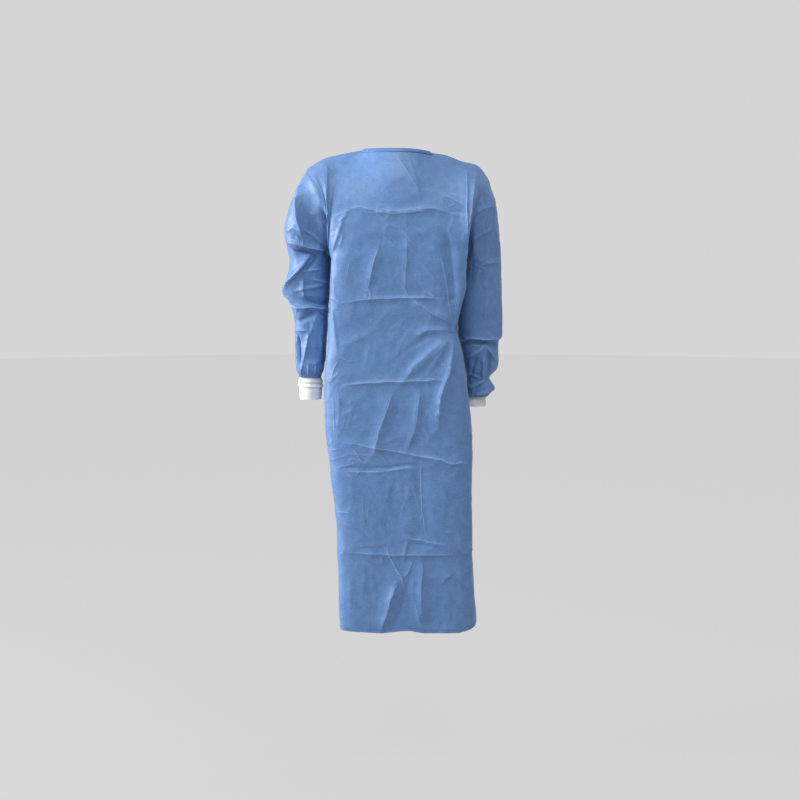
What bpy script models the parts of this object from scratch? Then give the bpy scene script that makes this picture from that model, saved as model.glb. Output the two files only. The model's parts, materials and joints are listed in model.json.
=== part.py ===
"""Surgical gown, worn and hollow: front, two lapped backs, set-in sleeves, knitted cuffs, bound neck and waist ties.

Metres, +Z up. The wearer faces -Y, so the wearer's left is +X. The origin is the middle of the neck opening,
at the height where the shoulder seams meet the neck.
"""
import math
from collections import namedtuple

import bmesh
import bpy
import numpy as np
from mathutils import Vector
from mathutils.bvhtree import BVHTree

# Cloth
WALL = 0.0016
CUFF_WALL = 0.0020
BINDING_WALL = 0.0010
SEAM_GAP = 0.0003
# The gap is a little wider along the cloth, because the two walls meet at an angle
SEAM_SLACK = 1.15

BODY_PANELS = ("front_panel", "back_panel_left", "back_panel_right")

# Net of points on each panel, and how many of its steps one face of the solid takes
FINE = 4
NECK_FACES = 6
SHOULDER_FACES = 8
HALF_FACES = NECK_FACES + SHOULDER_FACES
YOKE_FACES = 9
SLEEVE_FACES = 24

# Heights that the whole garment shares
HEM_Z = -1.165
UNDERARM_Z = -0.262
WAIST_Z = -0.4262
# The crosswise creases that packing left in the cloth, and how far apart the rows of faces lie beside one
CREASES_Z = (-0.966, -0.738, -0.553, -0.352)
CREASE_ROW = 0.025
# Rows of faces from the hem to the underarm: three at each crease, two beside the waist, and others between them
ROWS_BETWEEN = (-1.120, -1.075, -1.030, -0.900, -0.850, -0.800, -0.668, -0.622, -0.495)
WAIST_STEP = 0.0300
ROWS_Z = sorted(
    [HEM_Z, UNDERARM_Z, WAIST_Z - WAIST_STEP, WAIST_Z, WAIST_Z + WAIST_STEP]
    + [z + step for z in CREASES_Z for step in (-CREASE_ROW, 0.0, CREASE_ROW)]
    + list(ROWS_BETWEEN)
)
SKIRT_FACES = len(ROWS_Z) - 1
WAIST_ROW = ROWS_Z.index(WAIST_Z)

# One row for each level of the skirt and body, from hem to underarm. left and right are the widest places on the
# wearer's right (-X) and left (+X), each at its own depth; middle is the centre line.
Level = namedtuple("Level", "z left right left_y right_y middle front back")
LEVELS = (
    Level(HEM_Z, -0.1405, 0.1970, -0.085, -0.035, 0.028, -0.134, 0.150),
    Level(-1.100, -0.1436, 0.1935, -0.080, -0.038, 0.026, -0.133, 0.149),
    Level(-1.000, -0.1460, 0.1865, -0.070, -0.045, 0.022, -0.131, 0.147),
    Level(-0.900, -0.1510, 0.1852, -0.060, -0.050, 0.018, -0.130, 0.145),
    Level(-0.800, -0.1606, 0.1850, -0.055, -0.050, 0.013, -0.129, 0.143),
    Level(-0.704, -0.1728, 0.1845, -0.050, -0.050, 0.008, -0.128, 0.141),
    Level(-0.605, -0.1777, 0.1760, -0.050, -0.060, 0.004, -0.127, 0.137),
    Level(-0.530, -0.1760, 0.1670, -0.055, -0.070, 0.003, -0.125, 0.129),
    Level(-0.470, -0.1690, 0.1555, -0.060, -0.080, 0.002, -0.122, 0.119),
    Level(WAIST_Z, -0.1675, 0.1455, -0.060, -0.088, 0.001, -0.120, 0.113),
    Level(-0.385, -0.1645, 0.1543, -0.060, -0.095, 0.001, -0.122, 0.116),
    Level(-0.334, -0.1625, 0.1660, -0.060, -0.098, 0.001, -0.125, 0.119),
    Level(UNDERARM_Z, -0.1590, 0.1660, -0.062, -0.098, 0.001, -0.127, 0.120),
)
# How square each level is at the front and at the back; 2 is a true ellipse
FRONT_SQUARE = 6.0
BACK_SQUARE = 1.85
# How far behind the widest place the side seam lies, as an angle round the back
SEAM_TURN = math.radians(20)

# Lines of the yoke, from the underarm (0) to the shoulder (1)
Mark = namedtuple("Mark", "rise x y z")
FRONT_MIDDLE = (
    Mark(0.00, 0.001, -0.127, UNDERARM_Z),
    Mark(0.25, 0.001, -0.127, -0.205),
    Mark(0.50, 0.001, -0.123, -0.145),
    Mark(0.70, 0.000, -0.119, -0.095),
    Mark(0.86, 0.000, -0.104, -0.046),
    Mark(1.00, 0.000, -0.070, 0.004),
)
BACK_MIDDLE = (
    Mark(0.00, 0.001, 0.120, UNDERARM_Z),
    Mark(0.25, 0.001, 0.121, -0.200),
    Mark(0.50, 0.001, 0.118, -0.137),
    Mark(0.70, 0.000, 0.108, -0.084),
    Mark(0.86, 0.000, 0.090, -0.038),
    Mark(1.00, 0.000, 0.060, 0.005),
)
# Armholes run from the underarm to the shoulder tip; the first point is the side seam's top and is worked out
FRONT_ARMHOLE_RIGHT = (
    Mark(0.15, -0.1575, -0.040, -0.247),
    Mark(0.30, -0.1610, -0.078, -0.212),
    Mark(0.50, -0.1660, -0.098, -0.150),
    Mark(0.70, -0.1790, -0.098, -0.101),
    Mark(0.86, -0.2010, -0.072, -0.062),
    Mark(1.00, -0.2190, 0.000, -0.040),
)
FRONT_ARMHOLE_LEFT = (
    Mark(0.15, 0.1560, -0.046, -0.248),
    Mark(0.30, 0.1650, -0.068, -0.207),
    Mark(0.50, 0.1790, -0.080, -0.158),
    Mark(0.70, 0.1960, -0.078, -0.115),
    Mark(0.86, 0.2130, -0.056, -0.085),
    Mark(1.00, 0.2270, 0.004, -0.070),
)
BACK_ARMHOLE_RIGHT = (
    Mark(0.15, -0.1520, 0.042, -0.245),
    Mark(0.30, -0.1560, 0.070, -0.208),
    Mark(0.50, -0.1650, 0.080, -0.148),
    Mark(0.70, -0.1820, 0.068, -0.098),
    Mark(0.86, -0.2020, 0.042, -0.062),
    Mark(1.00, -0.2190, 0.000, -0.040),
)
BACK_ARMHOLE_LEFT = (
    Mark(0.15, 0.1470, 0.050, -0.246),
    Mark(0.30, 0.1560, 0.082, -0.208),
    Mark(0.50, 0.1700, 0.092, -0.155),
    Mark(0.70, 0.1900, 0.078, -0.112),
    Mark(0.86, 0.2100, 0.048, -0.084),
    Mark(1.00, 0.2270, 0.004, -0.070),
)
# Shoulder seams, from the neck (0) to the shoulder tip (1)
SHOULDER_RIGHT = (
    Mark(0.00, -0.0815, 0.000, 0.0045),
    Mark(0.30, -0.1270, 0.000, -0.0040),
    Mark(0.52, -0.1520, 0.000, -0.0095),
    Mark(0.72, -0.1780, 0.000, -0.0165),
    Mark(1.00, -0.2190, 0.000, -0.0400),
)
SHOULDER_LEFT = (
    Mark(0.00, 0.0815, 0.000, -0.0020),
    Mark(0.27, 0.1225, 0.000, -0.0090),
    Mark(0.50, 0.1560, 0.001, -0.0220),
    Mark(0.78, 0.2010, 0.002, -0.0360),
    Mark(1.00, 0.2270, 0.004, -0.0700),
)
# Share of the yoke's half width that is neck, and how quickly the shoulder's form gives way to the body's
NECK_SHARE = 0.375
TOP_FADE = 3.4
ARM_FADE = 3.0

# How far each back panel passes the centre line, as a share of the half back, at the hem and at the neck
LAP_HEM = 0.55
LAP_NECK = 0.16
LAP_GAP = 0.0030
LAP_FACES = 5
LAP_FADE = 0.20

# Sleeve rings from the armhole down. outer and inner are the ring's two ends seen from the front.
Ring = namedtuple("Ring", "outer_x outer_z inner_x inner_z y half_depth")
RINGS_RIGHT = (
    Ring(-0.2190, -0.0400, -0.1500, -0.2620, 0.000, 0.0800),
    Ring(-0.2445, -0.0926, -0.1600, -0.2660, 0.000, 0.0740),
    Ring(-0.2655, -0.1450, -0.1590, -0.2760, 0.000, 0.0680),
    Ring(-0.2750, -0.2000, -0.1590, -0.2880, 0.000, 0.0650),
    Ring(-0.2640, -0.2545, -0.1600, -0.3000, -0.001, 0.0650),
    Ring(-0.2665, -0.2935, -0.1600, -0.3140, -0.002, 0.0630),
    Ring(-0.2810, -0.3400, -0.1635, -0.3440, -0.003, 0.0610),
    Ring(-0.2620, -0.3720, -0.1680, -0.3740, -0.005, 0.0570),
    Ring(-0.2540, -0.4050, -0.1700, -0.4050, -0.008, 0.0530),
    Ring(-0.2510, -0.4600, -0.1725, -0.4600, -0.013, 0.0480),
    Ring(-0.2510, -0.5250, -0.1790, -0.5250, -0.019, 0.0450),
    Ring(-0.2420, -0.5500, -0.1870, -0.5500, -0.020, 0.0300),
)
RINGS_LEFT = (
    Ring(0.2270, -0.0700, 0.1450, -0.2620, 0.004, 0.0780),
    Ring(0.2400, -0.1100, 0.1690, -0.2660, 0.014, 0.0760),
    Ring(0.2490, -0.1550, 0.1680, -0.2760, 0.020, 0.0715),
    Ring(0.2545, -0.2100, 0.1650, -0.2900, 0.026, 0.0680),
    Ring(0.2575, -0.2600, 0.1610, -0.3080, 0.030, 0.0645),
    Ring(0.2600, -0.3330, 0.1540, -0.3480, 0.031, 0.0625),
    Ring(0.2620, -0.3910, 0.1475, -0.3940, 0.031, 0.0610),
    Ring(0.2640, -0.4480, 0.1480, -0.4480, 0.031, 0.0590),
    Ring(0.2540, -0.4720, 0.1550, -0.4720, 0.031, 0.0550),
    Ring(0.2530, -0.5280, 0.1660, -0.5280, 0.031, 0.0490),
    Ring(0.2320, -0.5560, 0.1730, -0.5560, 0.031, 0.0390),
    Ring(0.2450, -0.5820, 0.1720, -0.5820, 0.031, 0.0380),
    Ring(0.2260, -0.6030, 0.1700, -0.6030, 0.031, 0.0320),
)
ARMHOLE_REACH = 0.10
# How square a sleeve ring is; 2 is a true ellipse
SLEEVE_SQUARE = 2.8
# How far forward the outer edge of the right sleeve stands at its top, and how far back its inner edge
SLEEVE_TURN_RIGHT = 0.026

# Knitted cuffs, from the sleeve's end down: z, half width and half depth of each ring, on one centre line
CuffRing = namedtuple("CuffRing", "z half_width half_depth")
CUFF_RIGHT_X = -0.2130
CUFF_RIGHT_Y = -0.020
CUFF_RINGS_RIGHT = (
    CuffRing(-0.5503, 0.0275, 0.0290),
    CuffRing(-0.5600, 0.0295, 0.0300),
    CuffRing(-0.5700, 0.0300, 0.0305),
    CuffRing(-0.5790, 0.0280, 0.0285),
    CuffRing(-0.5880, 0.0275, 0.0285),
    CuffRing(-0.6055, 0.0262, 0.0275),
)
CUFF_LEFT_X = 0.1950
CUFF_LEFT_Y = 0.031
CUFF_RINGS_LEFT = (
    CuffRing(-0.6033, 0.0262, 0.0270),
    CuffRing(-0.6120, 0.0270, 0.0280),
    CuffRing(-0.6270, 0.0262, 0.0270),
)

# Large folds. A path is given where that side of the gown shows it; up and down are the widths of its two slopes,
# and a negative height sinks the fold into the cloth.
Fold = namedtuple("Fold", "path height up down")
FRONT_FOLDS = (
    # Crosswise creases, from the chest down
    Fold(((-0.133, -0.147), (-0.062, -0.141), (0.010, -0.147), (0.095, -0.139), (0.165, -0.158)), 0.006, 0.030, 0.026),
    Fold(((-0.140, -0.358), (-0.080, -0.351), (0.030, -0.350), (0.110, -0.352)), 0.004, 0.026, 0.024),
    Fold(((-0.112, -0.556), (-0.028, -0.551), (0.120, -0.546)), 0.004, 0.026, 0.024),
    Fold(((-0.143, -0.697), (-0.058, -0.711), (0.050, -0.733), (0.120, -0.750), (0.178, -0.747)), 0.005, 0.030, 0.028),
    Fold(((-0.105, -0.964), (-0.020, -0.971), (0.064, -0.973), (0.142, -0.969)), 0.004, 0.026, 0.024),
    # Cloth drawn to the tie at the wearer's left of the waist
    Fold(((0.142, -0.414), (0.085, -0.388), (0.030, -0.357)), 0.012, 0.026, 0.022),
    Fold(((0.130, -0.432), (0.072, -0.431), (0.042, -0.446)), 0.008, 0.020, 0.024),
    Fold(((0.125, -0.455), (0.070, -0.500), (0.020, -0.545)), 0.012, 0.032, 0.030),
    Fold(((0.134, -0.447), (0.130, -0.520), (0.104, -0.600), (0.097, -0.680)), 0.013, 0.026, 0.030),
    # Hollow above the tie, beside the arm
    Fold(((0.117, -0.185), (0.128, -0.300), (0.136, -0.400)), -0.012, 0.028, 0.028),
    # Edge fold in front of the wearer's left arm
    Fold(((0.150, -0.028), (0.163, -0.060), (0.166, -0.160), (0.163, -0.240)), 0.009, 0.028, 0.018),
    # Drop from the neck, and lines of the chest
    Fold(((0.000, -0.022), (0.045, -0.085)), 0.006, 0.028, 0.028),
    Fold(((-0.046, -0.228), (-0.078, -0.342)), 0.006, 0.026, 0.026),
    Fold(((0.022, -0.205), (0.018, -0.334)), 0.004, 0.026, 0.026),
    # Long folds of the skirt
    Fold(((0.000, -1.035), (-0.016, -1.090), (-0.034, -1.160)), 0.012, 0.035, 0.040),
    Fold(((0.060, -0.985), (0.057, -1.080), (0.060, -1.150)), 0.008, 0.030, 0.030),
    Fold(((0.058, -0.742), (0.058, -0.850), (0.070, -0.930)), -0.006, 0.030, 0.030),
    Fold(((0.052, -0.565), (0.048, -0.640), (0.025, -0.720)), 0.008, 0.030, 0.034),
    Fold(((-0.012, -0.572), (-0.040, -0.670), (-0.058, -0.735)), 0.008, 0.030, 0.030),
)
BACK_FOLDS_OUTER = (
    Fold(((0.060, -0.455), (0.066, -0.560), (0.078, -0.720)), 0.013, 0.034, 0.034),
    Fold(((0.018, -0.455), (0.012, -0.600), (0.020, -0.800)), 0.012, 0.030, 0.034),
    Fold(((0.055, -0.395), (0.070, -0.320), (0.095, -0.240)), 0.011, 0.030, 0.030),
    Fold(((0.100, -0.780), (0.112, -0.960), (0.118, -1.150)), 0.012, 0.040, 0.040),
    Fold(((-0.045, -0.600), (-0.040, -0.850), (-0.050, -1.150)), 0.009, 0.036, 0.036),
    Fold(((-0.040, -0.553), (0.060, -0.549), (0.150, -0.553)), 0.004, 0.026, 0.024),
    Fold(((-0.060, -0.966), (0.060, -0.970), (0.150, -0.966)), 0.004, 0.026, 0.024),
)
BACK_FOLDS_INNER = (
    Fold(((-0.100, -0.455), (-0.112, -0.580), (-0.118, -0.760)), 0.012, 0.034, 0.034),
    Fold(((-0.098, -0.395), (-0.108, -0.310), (-0.120, -0.235)), 0.010, 0.028, 0.028),
    Fold(((-0.118, -0.850), (-0.114, -1.000), (-0.112, -1.150)), 0.011, 0.034, 0.034),
)
SLEEVE_FOLDS_RIGHT = (
    # Folds that cross the elbow of the wearer's right arm, and the edge above it
    Fold(((-0.272, -0.219), (-0.212, -0.233), (-0.164, -0.240)), 0.009, 0.018, 0.020),
    Fold(((-0.212, -0.242), (-0.242, -0.288), (-0.281, -0.340)), 0.012, 0.024, 0.024),
    Fold(((-0.276, -0.349), (-0.245, -0.378), (-0.170, -0.383)), 0.010, 0.020, 0.018),
    Fold(((-0.225, -0.055), (-0.245, -0.130), (-0.246, -0.180), (-0.232, -0.206)), 0.010, 0.026, 0.022),
    Fold(((-0.238, -0.450), (-0.240, -0.510)), -0.008, 0.018, 0.018),
)
SLEEVE_FOLDS_LEFT = (
    # Shelf at the elbow of the wearer's left arm and the gathers over its cuff
    Fold(((0.158, -0.456), (0.215, -0.457), (0.262, -0.452)), 0.009, 0.016, 0.030),
    Fold(((0.190, -0.262), (0.225, -0.268), (0.255, -0.266)), 0.007, 0.018, 0.022),
    Fold(((0.216, -0.474), (0.180, -0.502)), 0.008, 0.018, 0.018),
)
# How rounded a fold's crest is, and how it fades towards its two ends
CREST = 0.10
END_FADE = 0.30
END_SHARE = 0.25

# Waist ties, the square that holds one of them, and their knot
TIE_WIDTH = 0.018
TIE_WALL = 0.0010
TIE_LIFT = 0.0022
PATCH_X = (0.1240, 0.1400)
# Columns between the square and its tie, and how far along the right tie reaches the panel below
TIE_STEP = 0.05
TIE_DROP = 0.008
# Column of the under panel beside its side seam, where the right tie is sewn on
TIE_SEWN_COLUMN = 1.0
KNOT_X = -0.012
KNOT_HALF = 0.014
KNOT_HALF_HEIGHT = 0.010
KNOT_DEPTH = 0.0065
# How much the knot is drawn in where the ties enter it, and where its middle lies, as a share of its depth
KNOT_WRAP = 0.16
KNOT_SEAT = 0.71
KNOT_REACH = KNOT_HALF * (1 - KNOT_WRAP) + SEAM_GAP
# Hanging ends: their faces, how far they stay off the cloth, where they leave the knot, and where cloth counts as near
TIE_END_FACES = 8
TIE_END_CLEAR = 0.006
TIE_END_LEAVES = 0.4
CLOTH_NEAR = 0.035
TieEnd = namedtuple("TieEnd", "name side length sway")
TIE_ENDS = (
    TieEnd("tie_end_left", 1, 0.185, 0.024),
    TieEnd("tie_end_right", -1, 0.160, 0.018),
)

# Neck binding, and the tab that closes the neck below it
BINDING_WIDTH = 0.0080
# Its distance from the cloth, its steps along one face, where it starts on the free edge, and where it looks for cloth
BINDING_LIFT = 0.0012
BINDING_STEPS = 2
BINDING_INSET = 0.15
BINDING_SEARCH = 0.006
UNDER_BINDING_FACES = 3
TAB_LENGTH = 0.044
TAB_HEIGHT = 0.020
TAB_DROP = 0.013

BLUE = (0.10, 0.22, 0.47, 1.0)
BINDING_BLUE = (0.09, 0.20, 0.44, 1.0)
WHITE = (0.80, 0.82, 0.84, 1.0)
CLOTH_ROUGHNESS = 0.62
KNIT_ROUGHNESS = 0.90


def clear_scene():
    for thing in list(bpy.data.objects):
        bpy.data.objects.remove(thing)


def new_collection(name):
    group = bpy.data.collections.new(name)
    bpy.context.scene.collection.children.link(group)
    return group


def finish(name, colour, roughness):
    """Plain material of one cloth."""
    material = bpy.data.materials.new(name)
    material.use_nodes = True
    shader = material.node_tree.nodes["Principled BSDF"]
    shader.inputs["Base Color"].default_value = colour
    shader.inputs["Roughness"].default_value = roughness
    shader.inputs["Metallic"].default_value = 0.0
    return material


def smooth_line(knots, values, at):
    """Smooth curve through a table's values, read at any place between its knots."""
    knots = np.asarray(knots, float)
    values = np.asarray(values, float)
    at = np.asarray(at, float)
    slopes = np.gradient(values, knots, axis=0)
    k = np.clip(np.searchsorted(knots, at) - 1, 0, len(knots) - 2)
    step = knots[k + 1] - knots[k]
    t = (at - knots[k]) / step
    if values.ndim > 1:
        t = t[..., None]
        step = step[..., None]
    start = (1 + 2 * t) * (1 - t) ** 2 * values[k] + t * (1 - t) ** 2 * step * slopes[k]
    end = t * t * (3 - 2 * t) * values[k + 1] + t * t * (t - 1) * step * slopes[k + 1]
    return start + end


def smooth_step(x):
    x = np.clip(x, 0.0, 1.0)
    return x * x * (3 - 2 * x)


def along_marks(marks, rise):
    """Points of a yoke line at these rises."""
    knots = [m.rise for m in marks]
    return smooth_line(knots, [(m.x, m.y, m.z) for m in marks], rise)


def level_at(z):
    """Every column of the level table at these heights, as a dictionary of arrays."""
    table = np.array(LEVELS)
    values = smooth_line(table[:, 0], table, z)
    return {name: values[:, i] for i, name in enumerate(Level._fields)}


def quarter(angle, square):
    """Unit superellipse at this angle from its middle line."""
    scale = (np.abs(np.sin(angle)) ** square + np.abs(np.cos(angle)) ** square) ** (-1 / square)
    return np.sin(angle) * scale, np.cos(angle) * scale


def half_body(z, share, side, facing):
    """Points of half a level: share runs from the centre line (0) to the side seam (1).

    side is +1 for the wearer's left and -1 for the right. facing is -1 for the front and +1 for the back.
    """
    level = level_at(z)
    widest = level["right"] if side > 0 else level["left"]
    widest_y = level["right_y"] if side > 0 else level["left_y"]
    reach = (widest - level["middle"])[:, None]
    front_depth = (widest_y - level["front"])[:, None]
    back_depth = (level["back"] - widest_y)[:, None]
    quarter_turn = math.pi / 2
    if facing < 0:
        angle = share[None, :] * (quarter_turn + SEAM_TURN)
    else:
        angle = share[None, :] * (quarter_turn - SEAM_TURN)
    x_front, y_front = quarter(angle, FRONT_SQUARE)
    x_back, y_back = quarter(angle, BACK_SQUARE)
    if facing < 0:
        behind = angle > quarter_turn
        x_unit = np.where(behind, x_back, x_front)
        y_shift = np.where(behind, -y_back * back_depth, -y_front * front_depth)
    else:
        x_unit = x_back + 0 * reach
        y_shift = y_back * back_depth
    x = level["middle"][:, None] + reach * x_unit
    y = widest_y[:, None] + y_shift
    return np.stack([x, y, np.broadcast_to(z[:, None], x.shape)], axis=-1)


def top_line(share, side, facing):
    """Half of the neckline and the whole shoulder seam, from the centre line (0) to the shoulder tip (1)."""
    middle = (FRONT_MIDDLE if facing < 0 else BACK_MIDDLE)[-1]
    shoulder = SHOULDER_LEFT if side > 0 else SHOULDER_RIGHT
    neck = shoulder[0]
    turn = np.clip(share / NECK_SHARE, 0, 1) * math.pi / 2
    x = middle.x + (neck.x - middle.x) * np.sin(turn)
    y = middle.y + (neck.y - middle.y) * (1 - np.cos(turn))
    z = middle.z + (neck.z - middle.z) * np.sin(turn) ** 2
    line = np.stack([x, y, z], axis=-1)
    along = np.clip((share - NECK_SHARE) / (1 - NECK_SHARE), 0, 1)
    return np.where((share > NECK_SHARE)[:, None], along_marks(shoulder, along), line)


def half_yoke(rise, share, side, facing):
    """Points of half a yoke, filled in between its centre line, armhole, shoulder and underarm level."""
    z_low = np.array([UNDERARM_Z])
    bottom = half_body(z_low, share, side, facing)[0]
    top = top_line(share, side, facing)
    middle = along_marks(FRONT_MIDDLE if facing < 0 else BACK_MIDDLE, rise)
    tables = {
        (1, -1): FRONT_ARMHOLE_LEFT,
        (-1, -1): FRONT_ARMHOLE_RIGHT,
        (1, 1): BACK_ARMHOLE_LEFT,
        (-1, 1): BACK_ARMHOLE_RIGHT,
    }
    armhole = along_marks((Mark(0.0, *bottom[-1]),) + tables[side, facing], rise)
    up = (rise**TOP_FADE)[:, None, None]
    out = (share**ARM_FADE)[None, :, None]
    ruled = (1 - up) * bottom[None] + up * top[None]
    middle_off = middle[:, None] - ruled[:, :1]
    armhole_off = armhole[:, None] - ruled[:, -1:]
    return ruled + (1 - out) * middle_off + out * armhole_off


def half_panel(share, side, facing):
    """Rows from the hem to the shoulder of one half of the front or the back."""
    rows = np.linspace(0, SKIRT_FACES, SKIRT_FACES * FINE + 1)
    z = np.interp(rows, np.arange(SKIRT_FACES + 1), ROWS_Z)
    rise = np.linspace(0, 1, YOKE_FACES * FINE + 1)
    low = half_body(z, share, side, facing)
    high = half_yoke(rise, share, side, facing)
    return np.concatenate([low[:-1], high])


def net_shares():
    """Shares of the half width, with a column on the corner where neck and shoulder meet."""
    neck = np.linspace(0, NECK_SHARE, NECK_FACES * FINE + 1)
    shoulder = np.linspace(NECK_SHARE, 1, SHOULDER_FACES * FINE + 1)
    return np.concatenate([neck, shoulder[1:]])


def normals_of(points, turned=False, round_tube=False):
    """Outward direction at each point of a net."""
    down = np.gradient(points, axis=0)
    if round_tube:
        ring = points[:, :-1]
        across = np.roll(ring, -1, axis=1) - np.roll(ring, 1, axis=1)
        across = np.concatenate([across, across[:, :1]], axis=1)
    else:
        across = np.gradient(points, axis=1)
    normal = np.cross(across, down)
    normal /= np.linalg.norm(normal, axis=-1, keepdims=True) + 1e-12
    return -normal if turned else normal


def place_on(points, normals, spot, facing_axis, facing_sign):
    """The point of a net nearest to a spot seen along one axis, on the side that faces it."""
    axes = [a for a in range(3) if a != facing_axis]
    away = np.linalg.norm(points[..., axes] - np.array(spot), axis=-1)
    away = away + np.where(normals[..., facing_axis] * facing_sign > 0.1, 0, 1.0)
    j, i = np.unravel_index(np.argmin(away), away.shape)
    return points[j, i]


def fold_height(points, normals, path, fold):
    """How far a fold lifts each point."""
    height = np.zeros(points.shape[:2])
    nearest = np.full(points.shape[:2], np.inf)
    lengths = np.linalg.norm(np.diff(path, axis=0), axis=1)
    travelled = np.concatenate([[0], np.cumsum(lengths)])
    for k in range(len(path) - 1):
        if lengths[k] == 0:
            continue
        run = (path[k + 1] - path[k]) / lengths[k]
        offset = points - path[k]
        along = np.clip(offset @ run, 0, lengths[k])
        gap = offset - along[..., None] * run
        far = np.linalg.norm(gap, axis=-1)
        side = np.sum(gap * np.cross(normals, run), axis=-1)
        width = np.where(side > 0, fold.up, fold.down)
        slope = np.clip(1 - (np.sqrt((far / width) ** 2 + CREST**2) - CREST), 0, 1)
        part = (travelled[k] + along) / travelled[-1]
        fade = smooth_step(part / END_FADE) * smooth_step((1 - part) / END_FADE)
        here = fold.height * smooth_step(slope) * (END_SHARE + (1 - END_SHARE) * fade)
        closer = far < nearest
        height = np.where(closer, here, height)
        nearest = np.minimum(nearest, far)
    return height


def fold_cloth(points, folds, facing_sign, turned=False, round_tube=False):
    """The net with its folds raised from it."""
    normals = normals_of(points, turned, round_tube)
    lift = np.zeros(points.shape[:2])
    for fold in folds:
        path = np.array([place_on(points, normals, spot, 1, facing_sign) for spot in fold.path])
        lift += fold_height(points, normals, path, fold)
    return points + normals * lift[..., None]


def ease_edges(points, before):
    """Brings folded cloth back to its seams over the last steps, so that pieces still meet there."""
    rows, columns = points.shape[:2]
    row = np.minimum(np.arange(rows)[::-1], rows) / (2 * FINE)
    column = np.minimum(np.arange(columns), np.arange(columns)[::-1]) / (2 * FINE)
    keep = smooth_step(row)[:, None] * smooth_step(column)[None, :]
    return before + (points - before) * keep[..., None]


def front_net(shares):
    right = half_panel(shares, -1, -1)[:, ::-1]
    left = half_panel(shares, 1, -1)
    plain = np.concatenate([right, left[:, 1:]], axis=1)
    return ease_edges(fold_cloth(plain, FRONT_FOLDS, -1), plain)


def lap_share(rows):
    """Share of the half back by which a back panel passes the centre line, row by row."""
    return np.linspace(LAP_HEM, LAP_NECK, rows)


def back_net(shares, side):
    """One back panel from its side seam to its free edge, which lies past the centre line."""
    own = half_panel(shares, side, 1)[:, ::-1]
    count = LAP_FACES * FINE
    steps = np.linspace(0, 1, count + 1)[1:]
    far = half_panel(shares, -side, 1)
    rows = len(own)
    laps = lap_share(rows)
    lap = np.empty((rows, count, 3))
    for j in range(rows):
        for axis in range(3):
            lap[j, :, axis] = np.interp(steps * laps[j], shares, far[j, :, axis])
    return np.concatenate([own, lap], axis=1)


def outer_back_net(shares):
    plain = back_net(shares, 1)
    return ease_edges(fold_cloth(plain, BACK_FOLDS_OUTER, 1), plain)


def inner_back_net(shares):
    """The back panel that lies under: it sinks by a wall and a gap before it reaches the other's free edge."""
    plain = back_net(shares, -1)
    folded = ease_edges(fold_cloth(plain, BACK_FOLDS_INNER, 1, turned=True), plain)
    normals = normals_of(folded, turned=True)
    rows = len(plain)
    own = shares[::-1][None, :] + np.zeros((rows, 1))
    past = -np.linspace(0, 1, LAP_FACES * FINE + 1)[1:][None, :] * lap_share(rows)[:, None]
    share = np.concatenate([own, past], axis=1)
    start = lap_share(rows)[:, None] + LAP_FADE + 0.02
    sink = (WALL + LAP_GAP) * smooth_step((start - share) / LAP_FADE)
    return folded - normals * sink[..., None]


def armhole_ring(front_edge, back_edge):
    """Armhole from the shoulder tip down the front to the underarm and up the back, closed on itself."""
    return np.concatenate([front_edge[::-1], back_edge[1:]])


def ring_shape(angle):
    """Depth and width of a unit sleeve ring at these angles from its outer end."""
    deep = np.abs(np.sin(angle))
    wide = np.abs(np.cos(angle))
    reach = (deep ** SLEEVE_SQUARE + wide ** SLEEVE_SQUARE) ** (-1 / SLEEVE_SQUARE)
    return np.sin(angle) * reach, np.cos(angle) * reach


def sleeve_net(rings, turn, armhole, folds, turned):
    """Sleeve as rings from the armhole to the cuff, closed round."""
    count = len(armhole)
    angle = np.linspace(0, 2 * math.pi, count)
    table = np.array(rings)
    place = np.linspace(0, len(rings) - 1, SLEEVE_FACES * FINE + 1)
    row = smooth_line(np.arange(len(rings)), table, place)
    outer_x, outer_z, inner_x, inner_z, y, half_depth = (row[:, [i]] for i in range(6))
    bulge, swing = (part[None, :] for part in ring_shape(angle))
    x = (outer_x + inner_x) / 2 + (outer_x - inner_x) / 2 * swing
    z = (outer_z + inner_z) / 2 + (outer_z - inner_z) / 2 * swing
    straighter = 1 - smooth_step(place / (len(rings) - 1))[:, None]
    depth = y - half_depth * bulge - turn * straighter * swing
    net = np.stack([x, depth + 0 * x, z], axis=-1)
    joined = (1 - smooth_step(place / (len(rings) - 1) / ARMHOLE_REACH))[:, None, None]
    first = net[:1]
    net = net + joined * (armhole[None] - first)
    folded = fold_cloth(net, folds, -1, turned, round_tube=True)
    rows = len(net)
    row_keep = smooth_step(np.minimum(np.arange(rows), np.arange(rows)[::-1]) / (1.5 * FINE))
    return net + (folded - net) * row_keep[:, None, None]


def cuff_net(rings, centre_x, centre_y, count, shift):
    """Cuff as rings down one centre line; the first is a seam's gap below the sleeve's end."""
    angle = np.linspace(0, 2 * math.pi, count)
    table = np.array(rings)
    place = np.linspace(0, len(rings) - 1, 2 * (len(rings) - 1) + 1)
    row = smooth_line(np.arange(len(rings)), table, place)
    z, half_width, half_depth = (row[:, [i]] for i in range(3))
    outward = 1 if centre_x > 0 else -1
    x = centre_x + outward * half_width * np.cos(angle)[None, :]
    y = centre_y - half_depth * np.sin(angle)[None, :]
    return np.stack([x, y, z - shift + 0 * x], axis=-1)


def pull_back(points, edge):
    """Moves one edge of a net half a seam's gap back from the seam, along the cloth."""
    net = points.copy()
    views = {
        "first_row": (net[0], net[1]),
        "last_row": (net[-1], net[-2]),
        "first_column": (net[:, 0], net[:, 1]),
        "last_column": (net[:, -1], net[:, -2]),
    }
    at_seam, next_to_it = views[edge]
    toward = next_to_it - at_seam
    toward /= np.linalg.norm(toward, axis=-1, keepdims=True)
    at_seam += toward * SEAM_GAP / 2 * SEAM_SLACK
    return net


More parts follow.
